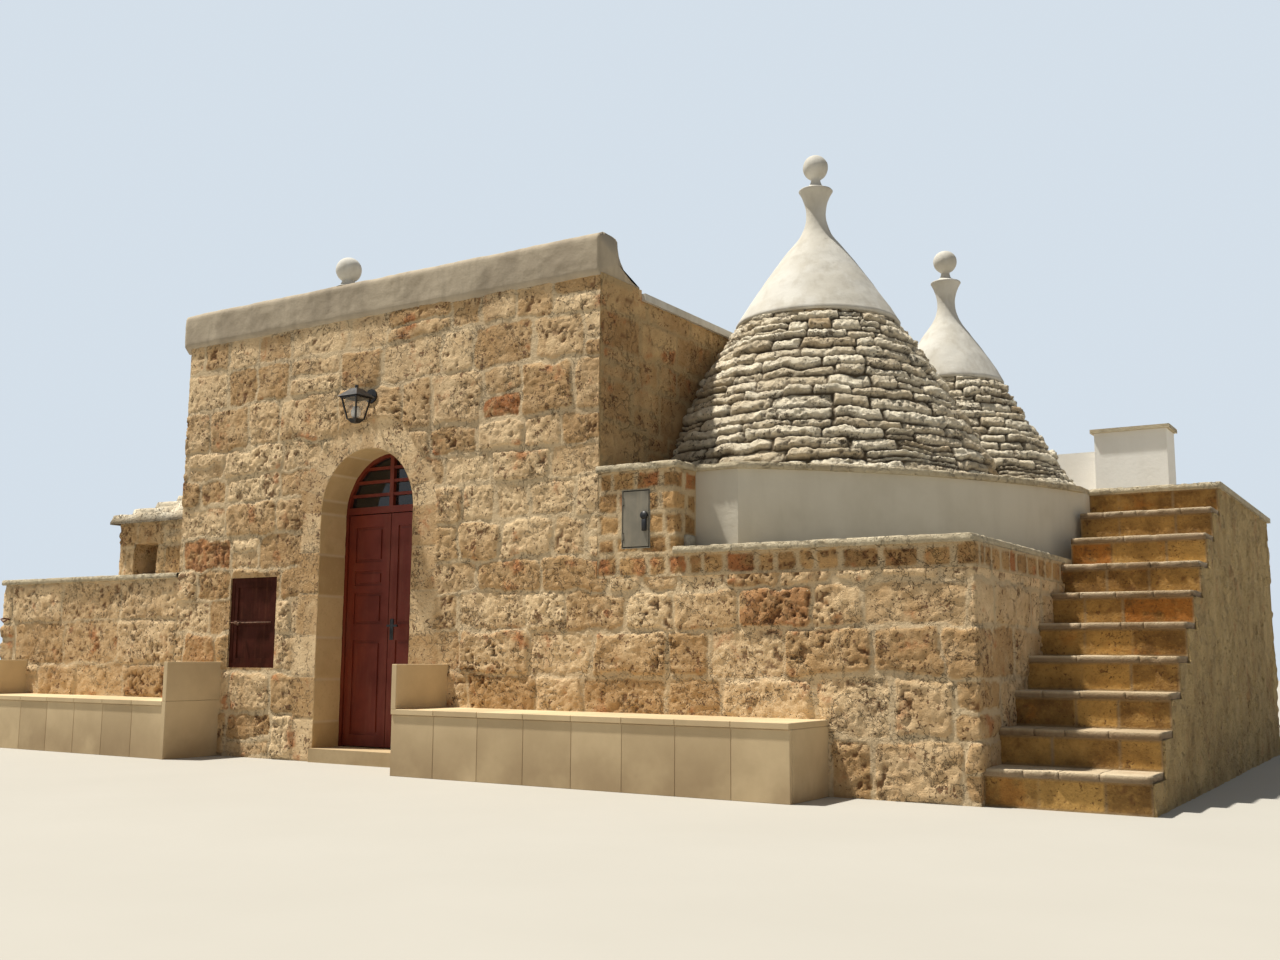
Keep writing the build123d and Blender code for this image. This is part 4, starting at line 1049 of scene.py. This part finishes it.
def sweptSheet(profile, path, spacing, shape, tone=0.5, paintedSideShade=0.0):
    # a closed outline of (outward offset, height) carried along a plan path with mitred bends; each
    # point moves away from the outline's middle by shape(points), both ends are closed, and points a
    # little below the highest edge are marked darker: painted shade on the sides, the top left light
    profile = np.array(profile)
    lengths = np.append(0, np.cumsum(np.hypot(*np.diff(profile, axis=0, append=profile[:1]).T)))
    along = steps(lengths, spacing)[:-1]
    offset, z = (np.interp(along, lengths, line) for line in np.append(profile, profile[:1], 0).T)
    _, plane, normal = alongPath(path, (), spacing)
    middle = profile.mean(0)
    away = together(offset - middle[0], z - middle[1])
    away /= np.linalg.norm(away, axis=-1, keepdims=True)

    def place(reach, height):
        return together(plane[:, :1] + normal[:, :1] * reach, plane[:, 1:] + normal[:, 1:] * reach, height)

    points = place(offset, z)
    push = shape(points)
    sideways = away[:, 0] * push
    points = points + together(normal[:, :1] * sideways, normal[:, 1:] * sideways, away[:, 1] * push)
    core = place(0 * offset + middle[0], 0 * z + middle[1])
    points = np.concatenate([core[:1], points, core[-1:]])
    # painted shade: everything below the top edge is darkened, so the top looks lit
    paintedSideShadeMark = paintedSideShade * softStep(0.006, 0.016, profile[:, 1].max() - points[..., 2])
    return gridSheet(points, relief=together(1, tone, paintedSideShadeMark), wrap=True, poles=True)


def parapetSheet():
    # a soft-edged wall whose back sweeps down in a quarter cove to the flat cap behind it
    front, back, foot, head = parapetLow[1], parapetHigh[1], wallHead, parapetHigh[2]
    shelf, sink = parapetShelf, foot - 0.06
    cove = [
        (back - (back - shelf) * sin(t), head - 0.02 - (head - 0.03 - foot) * cos(t))
        for t in np.linspace(0, pi / 2, 9)
    ]
    soft = [
        (front + 0.004, foot), (front, foot + 0.03), (front, head - 0.05), (front + 0.012, head - 0.018),
        (front + 0.05, head), (shelf - 0.03, head),
    ]
    profile = [(-y, z) for y, z in soft + cove[::-1] + [(back - 0.05, sink), (0.03, sink)]]

    def shape(points):
        return unevenness(points, 0.022, 0.5, 301) + unevenness(points, 0.012, 0.07, 303) - 0.004

    return sweptSheet(profile, [(parapetLow[0], 0), (blockRight, 0)], 0.026, shape)


makePiece("parapetPlaster", parapetSheet(), parapetPlaster, replaces=["front_parapet"])


# store roof of stepped flat stones

def storeRoof():
    # height = base + whole courses climbed + a quick rise at each course's edge, where the number of
    # courses climbed is the least distance from the three open sides over the step
    low, high = boxOf("store_roof")
    look = {
        "spacing": 0.016, "stepX": 0.185, "stepY": 0.115, "course": 0.072, "most": 5.999, "wobble": 0.24,
        "edge": 0.16, "rough": 0.02, "least": 0.003, "over": 0.01, "sink": 0.02,
    }
    x, y = (steps([low[n], high[n]], look["spacing"]) for n in (0, 1))
    x2, y2 = np.meshgrid(x, y)
    flat = together(x2, y2, 0)
    wobble = unevenness(flat, look["wobble"], 0.22, 401)
    sides = [(x2 - low[0]) / look["stepX"], (y2 - low[1]) / look["stepY"], (high[1] - y2) / look["stepY"]]
    climbed = np.minimum.reduce(sides)
    climbed = np.clip(climbed + wobble * np.clip(climbed * 4, 0, 1), 0, look["most"])
    course = np.floor(climbed)
    edge = softStep(0, look["edge"], climbed - course)
    rough = unevenness(flat + course[..., None] * 3.7, look["rough"], 0.12, 403)
    cut = cloud(flat + course[..., None] * 5.1, 0.2, 405)
    z = low[2] + look["course"] * (course + edge) + rough * edge + look["rough"] * (cut - 0.5) * edge
    points = together(x2, y2, np.clip(z, low[2] + look["least"], high[2] + look["over"]))
    backs = together(x2, y2, low[2] - look["sink"])
    # each course's rise gets a low body mark and takes the cones' near-black gap colour: painted shade on the
    # step faces
    return gridSheet(points, backs, together(0.25 + 0.75 * edge, cut, 0))


makePiece("storeRoofStones", storeRoof(), coneStone, replaces=["store_roof"])
print("caps, parapet and store roof done")


# small fittings

def tubeSheet(route, radius, sides=10):
    # rings round a route, each square to the mean of its two neighbours' directions, closed at both ends
    route = np.array(route, float)
    ahead = np.gradient(route, axis=0)
    ahead /= np.linalg.norm(ahead, axis=1, keepdims=True)
    side = np.cross(ahead, [0.3, 0.2, 0.93])
    side /= np.linalg.norm(side, axis=1, keepdims=True)
    other = np.cross(ahead, side)
    turn = np.linspace(0, 2 * pi, sides + 1)[:-1][None, :, None]
    rings = route[:, None] + radius * (np.cos(turn) * side[:, None] + np.sin(turn) * other[:, None])
    ends = [np.broadcast_to(route[n], (1, sides, 3)) for n in (0, -1)]
    return gridSheet(np.concatenate([ends[0], rings, ends[1]]), wrap=True, poles=True)


def bulb():
    # outline points are (radius, height above the bulb's foot)
    outline = [(0, 0), (0.03, 0.004), (0.041, 0.03), (0.041, 0.06), (0.026, 0.092), (0.016, 0.1), (0, 0.103)]
    foot, centre = lampLow[2] + 0.045, (lampX, lampLow[1] + 0.115)
    return turnedSheet(np.array(outline) + (0, foot), centre, 0.0, 0.008, sides=24, seed=0)


def hatchLatch():
    # a thin bar across the middle rail, with its keeper on the left and a knob to draw it by
    start = np.array([hatchLow[0], hatchLow[1] - 0.004, (hatchLow[2] + hatchHigh[2]) / 2])
    end = (hatchHigh[0] - 0.07, start[1], start[2])
    bar = tubeSheet([start + (-0.03, 0, 0), start + (0.2, 0, -0.002), end], 0.006)
    knob = tubeSheet(start + [(0.14, 0, 0), (0.14, -0.02, -0.004), (0.14, -0.034, -0.022)], 0.009)
    lows = start + [(-0.045, -0.01, -0.02), (0.06, -0.008, -0.014)]
    highs = start + [(-0.015, 0.03, 0.02), (0.1, 0.006, 0.014)]
    return joinSheets([bar, knob, slabSheet(lows, highs, 0.002, [plainMark] * 2)])


def gardenHook():
    # a bent iron rod that comes out of the garden wall
    start = np.array([-5.1, 0.0, 1.26])
    bends = [(0, 0, 0), (0, -0.07, 0.01), (0.03, -0.12, 0), (0.09, -0.13, -0.03), (0.13, -0.12, -0.01)]
    return tubeSheet(start + bends, 0.009)


def meterLock():
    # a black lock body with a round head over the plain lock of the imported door
    low, high = boxOf("meter_door")
    foot = np.array([high[0] - 0.033, low[1] - 0.004, low[2] + 0.112])
    body = slabSheet([foot + (-0.019, 0, 0)], [foot + (0.019, 0.018, 0.094)], 0.005, [plainMark])
    head = tubeSheet(foot + [(0, 0.018, 0.116), (0, 0.002, 0.116), (0, 0, 0.116)], 0.03, sides=20)
    return joinSheets([body, head])


def pierBox():
    # a small grey box with a raised lid, low on the return of the pier
    foot = np.array([pierHigh[0] + 0.002, 0, terraceHigh[2] + 0.048])
    lows = foot + [(0, 0.12, 0), (0.03, 0.128, 0.008)]
    highs = foot + [(0.034, 0.24, 0.1), (0.042, 0.232, 0.092)]
    return slabSheet(lows, highs, 0.004, [plainMark] * 2)


makePiece("pierBox", pierBox(), palePaint)
makePiece("lanternBulb", bulb(), bulbWhite)
makePiece("hatchLatch", hatchLatch(), rustyIron)
makePiece("gardenHook", gardenHook(), rustyIron)
makePiece("meterLock", meterLock(), blackIron, body="meter_door")


# benches clad in thin tiles

def benchTiles():
    # tiles stand a little proud of a grout core; each has its own tone from its number; a span is a
    # bench's two ends and the left edges of its upright slabs
    look = {"pitch": 0.4185, "joint": 0.003, "chamfer": 0.003, "thick": 0.05, "proud": 0.004}
    spans = [(-4.78, -1.73, [-4.78, -1.78]), (0.91, 4.265, [0.91])]
    (_, front, _), (_, _, underSeat) = boxOf("bench_bodies")
    (_, seatFront, _), (_, _, seatTop) = boxOf("bench_seats")
    armTop, thick, gap, proud = boxOf("bench_arms")[1][2], look["thick"], look["joint"] / 2, look["proud"]
    lows, highs, marks = [], [], []

    def slab(x0, x1, y0, y1, z0, z1, body=1.0):
        lows.append((x0, y0, z0))
        highs.append((x1, y1, z1))
        marks.append((body, cellHash(np.array([len(marks)]), 17), 0))

    for start, end, arms in spans:
        inner = start + thick
        last = end - thick if end - thick in arms else end
        slab(inner, last - 0.004, front, -0.002, 0, underSeat + 0.004, 0.0)
        edges = np.append(start if start > 0 else inner, np.arange(last, start + 0.2, -look["pitch"])[::-1])
        for x0, x1 in zip(edges, edges[1:]):
            slab(x0 + gap, x1 - gap, front - proud, front + 0.03, 0, underSeat - 0.003)
            slab(x0 + gap, x1 - gap, seatFront, -0.001, underSeat, seatTop)
        slab(last - 0.03, last, front + 0.03 + look["joint"], -0.001, 0, underSeat - 0.003)
        for x in arms:
            # the right bench's upright slab stands on the seat, the left bench's two reach the ground
            onSeat = x == start > 0
            lowFront, lowTop = (front + 0.034, underSeat) if onSeat else (seatFront, seatTop)
            slab(x + 0.001, x + thick - 0.001, lowFront + 0.002, -0.002, 0, seatTop, 0.0)
            slab(x, x + thick, lowFront, -0.001, 0, lowTop - look["joint"])
            slab(x, x + thick, seatFront, -0.001, seatTop, armTop)
    return slabSheet(lows, highs, look["chamfer"], marks)


benchNodes = ["bench_bodies", "bench_seats", "bench_arms"]
makePiece("benchTiles", benchTiles(), benchStone, smooth=False, replaces=benchNodes)


# steps: broken tread slabs and coloured riser blocks

def treadSlabs():
    # each tread is two to four slabs side by side with worn, uneven noses
    # paintedSideShade darkens each nose below the tread's top: painted shade, the tops stay light as if in
    # sun
    look = {"width": (0.2, 0.45), "slabs": (2, 5), "nose": 0.022, "lift": 0.003, "gap": 0.002, "paintedSideShade": 0.8}
    rng = np.random.default_rng(501)
    nose, sheets = look["nose"], []
    for n in range(1, stepCount + 1):
        y0, top = stairLow[1] + (n - 1) * treadGoing, n * treadRise
        cuts = np.cumsum(np.append(0, rng.uniform(*look["width"], rng.integers(*look["slabs"]))))
        cuts = stairLow[0] + cuts / cuts[-1] * (stairHigh[0] - stairLow[0])
        under = top - treadThick
        profile = [
            (nose - 0.003, under), (nose, under + 0.004), (nose, top - 0.005), (nose - 0.004, top),
            (-treadGoing, top), (-treadGoing, under),
        ]
        for x0, x1 in zip(cuts, cuts[1:]):
            lift = rng.uniform(-look["lift"], look["lift"])

            def shape(points):
                # broad waves, less the chips along the nose, plus the slab's own lift
                chips = softStep(0.58, 0.72, roughCloud(points, 0.05, 507 + n))
                chips = chips * softStep(y0 + 0.03, y0, points[..., 1])
                return unevenness(points, 0.008, 0.12, 503 + n) - 0.012 * chips + lift

            path = [(x0 + look["gap"], y0), (x1 - look["gap"], y0)]
            sheets.append(sweptSheet(profile, path, 0.02, shape, tone=rng.uniform(), paintedSideShade=look["paintedSideShade"]))
    return joinSheets(sheets)


def riserBlocks():
    # one course of smooth blocks a step, each step with its own joints
    look = {
        **frontLook, "spacing": 0.018, "blocks": (0.2, 0.42), "courses": (0.2, 0.2), "split": 0.0,
        "corner": 0.012, "joint": 0.004, "lip": 0.007, "drift": 0.004, "sag": 0.0, "fray": 0.005,
        "creep": 0.0, "bulge": 0.002, "step": 0.004, "rough": 0.007, "pit": 0.004, "mortar": 0.003,
        "mortarRough": 0.003, "most": 0.014,
    }
    sheets = []
    for n in range(stepCount + 1):
        y = stairLow[1] + n * treadGoing
        foot, head = n * treadRise, (n + 1) * treadRise - treadThick
        path = [(stairLow[0], y), (stairHigh[0], y)]
        sheets.append(wallSheet(path, foot, head, {**look, "seed": 521 + n}))
    return joinSheets(sheets)


makePiece("treadSlabs", treadSlabs(), treadStone, replaces=["stair_treads"])
makePiece("riserBlocks", riserBlocks(), riserStone)


# worn edges of the coping slabs

copingThick, copingOver = 0.045, 0.035


def copingEdge(path, foot, seed, proud=0.006):
    # an uneven lip with chips that stands proud of the slab's edge and top
    head = foot + copingThick
    profile = [
        (-0.05, head + 0.001), (-0.045, head + proud), (proud - 0.012, head + proud), (proud, head - 0.008),
        (proud, foot + 0.006), (proud - 0.01, foot - 0.004), (-0.05, foot + 0.01),
    ]

    def shape(points):
        chips = softStep(0.55, 0.7, roughCloud(points, 0.045, seed + 3))
        return unevenness(points, 0.01, 0.1, seed) - 0.007 * chips

    # the lip gets the same painted shade below its top, though the coping's plain look leaves it out
    return sweptSheet(profile, path, 0.016, shape, tone=0.4, paintedSideShade=0.3)


def copingEdges():
    # the terrace's, the garden wall's and the deck's copings; the deck's runs on round the curved wall,
    # which is an arc of a circle about the drum's centre
    over = copingOver
    front, pierRight = terraceLow[1] - over, pierHigh[0] + over
    drum = {"x": 0.2102, "y": 4.4604, "radius": 5.275 + over, "front": 0.29 - over}
    first = np.arcsin((drum["front"] - drum["y"]) / drum["radius"])
    last = -np.arccos((stairLow[0] - 0.06 - drum["x"]) / drum["radius"])
    turns = np.linspace(first, last, 20)
    bend = [(drum["x"] + drum["radius"] * cos(t), drum["y"] + drum["radius"] * sin(t)) for t in turns]
    rim = [(pierLow[0], front), (pierRight, front), (pierRight, drum["front"]), *bend]
    garden = [(gardenLow[0] - 0.03, front), (wallLeft, front)]
    terrace = [(pierHigh[0] + 0.004, front), (stairLow[0], front), (stairLow[0], 1.9)]
    stairHead = stairHigh[1] - 0.022
    landing = [(stairLow[0] - 0.02, stairHead), (deckRight + over - 0.008, stairHead)]
    return joinSheets([
        copingEdge(garden, gardenHigh[2], 601), copingEdge(terrace, terraceHigh[2], 607),
        copingEdge(rim, deckTop, 613), copingEdge(landing, deckTop, 619),
    ])


makePiece("copingEdges", copingEdges(), copingStone)
print("benches, steps and copings done")


# looks of the nodes that are shown as packed

nodeLooks = {
    innerStone: [
        "front_wall_left", "front_wall_right", "front_wall_over_door", "left_wall", "right_wall", "back_wall",
        "garden_wall", "store_walls", "deck_right_wall", "deck_back_wall", "deck_left_wall", "stair_core",
        "meter_pier", "cone_1", "cone_2",
    ],
    plainDressed: ["door_jambs", "door_arch", "door_threshold"],
    copingStone: ["low_wall_copings", "deck_coping", "stair_treads", "back_pier_coping"],
    whitePlaster: ["back_parapet"],
    capPlaster: ["wall_cap"],
    roofLime: ["roof_vault", "roof_deck", "front_terrace"],
    shadedLimewash: ["curved_wall"],
    benchStone: benchNodes,
    redPaint: ["door_frame", "fanlight_bars", "door_leaf_left", "door_leaf_right"],
    brownPaint: ["hatch_frame", "hatch_leaf"],
    blackIron: ["lantern_body", "door_handle"],
    greyPaint: ["meter_case", "meter_door"],
    darkPane: ["fanlight_glass"],
    lanternPane: ["lantern_glass"],
}
for material, names in nodeLooks.items():
    for name in names:
        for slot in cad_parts[name].material_slots:
            slot.material = material


# floor, light and camera

light = {
    "sky": (0.66, 0.74, 0.82), "fill": (0.8, 0.84, 0.9), "fillStrength": 0.28, "sun": 6.0, "angle": 2.0,
    "sunColour": (1.0, 0.96, 0.88), "from": (-0.376, -0.135, 0.917),
}
view = {
    "yaw": -32.305, "pitch": 7.866, "roll": 0.352, "place": (7.84, -8.0145, 0.9), "lens": 36.18,
    "sensor": 36.0,
}


def makeFloor():
    mesh = bpy.data.meshes.new("floor")
    size = 60
    corners = [(-size, -size, 0), (size, -size, 0), (size, size, 0), (-size, size, 0)]
    mesh.from_pydata(corners, [], [(0, 1, 2, 3)])
    material, tree, surface, place = newMaterial("paleFloor")
    colour = mixColour(tree, noise(tree, place, 0.7, 4.0), (0.39, 0.37, 0.325), (0.43, 0.41, 0.365))
    tree.links.new(colour, surface.inputs["Base Color"])
    surface.inputs["Roughness"].default_value = 0.95
    mesh.materials.append(material)
    floor = bpy.data.objects.new("floor", mesh)
    bpy.context.scene.collection.objects.link(floor)


def makeLight():
    world = bpy.data.worlds.new("paleSky")
    bpy.context.scene.world = world
    world.use_nodes = True
    tree = world.node_tree
    tree.nodes.clear()
    seen = addNode(tree, "ShaderNodeBackground", {"Color": light["sky"], "Strength": 1.0}).outputs[0]
    dim = {"Color": light["fill"], "Strength": light["fillStrength"]}
    fill = addNode(tree, "ShaderNodeBackground", dim).outputs[0]
    rays = addNode(tree, "ShaderNodeLightPath").outputs
    mirrored = maths(tree, "MAXIMUM", rays["Is Glossy Ray"], rays["Is Transmission Ray"])
    shown = maths(tree, "MAXIMUM", rays["Is Camera Ray"], mirrored)
    mixed = addNode(tree, "ShaderNodeMixShader", {0: shown, 1: fill, 2: seen}).outputs[0]
    addNode(tree, "ShaderNodeOutputWorld", {"Surface": mixed})
    lamp = bpy.data.lights.new("sun", "SUN")
    lamp.energy, lamp.angle, lamp.color = light["sun"], radians(light["angle"]), light["sunColour"]
    sun = bpy.data.objects.new("sun", lamp)
    sun.rotation_euler = Vector(light["from"]).to_track_quat("Z", "Y").to_euler()
    bpy.context.scene.collection.objects.link(sun)


def makeCamera():
    # a camera that looks along yaw and pitch and leans by roll
    yaw, pitch, roll = (radians(view[key]) for key in ("yaw", "pitch", "roll"))
    forward = Vector((sin(yaw) * cos(pitch), cos(yaw) * cos(pitch), sin(pitch)))
    level = Vector((cos(yaw), -sin(yaw), 0))
    upright = level.cross(forward)
    right = cos(roll) * level + sin(roll) * upright
    up = cos(roll) * upright - sin(roll) * level
    lens = bpy.data.cameras.new("view")
    lens.lens, lens.sensor_width = view["lens"], view["sensor"]
    camera = bpy.data.objects.new("view", lens)
    turn = Matrix((right, up, -forward)).transposed().to_4x4()
    camera.matrix_world = Matrix.Translation(view["place"]) @ turn
    bpy.context.scene.collection.objects.link(camera)
    bpy.context.scene.camera = camera


makeFloor()
makeLight()
makeCamera()
bpy.context.scene.view_settings.view_transform = "Standard"

print("scene done")
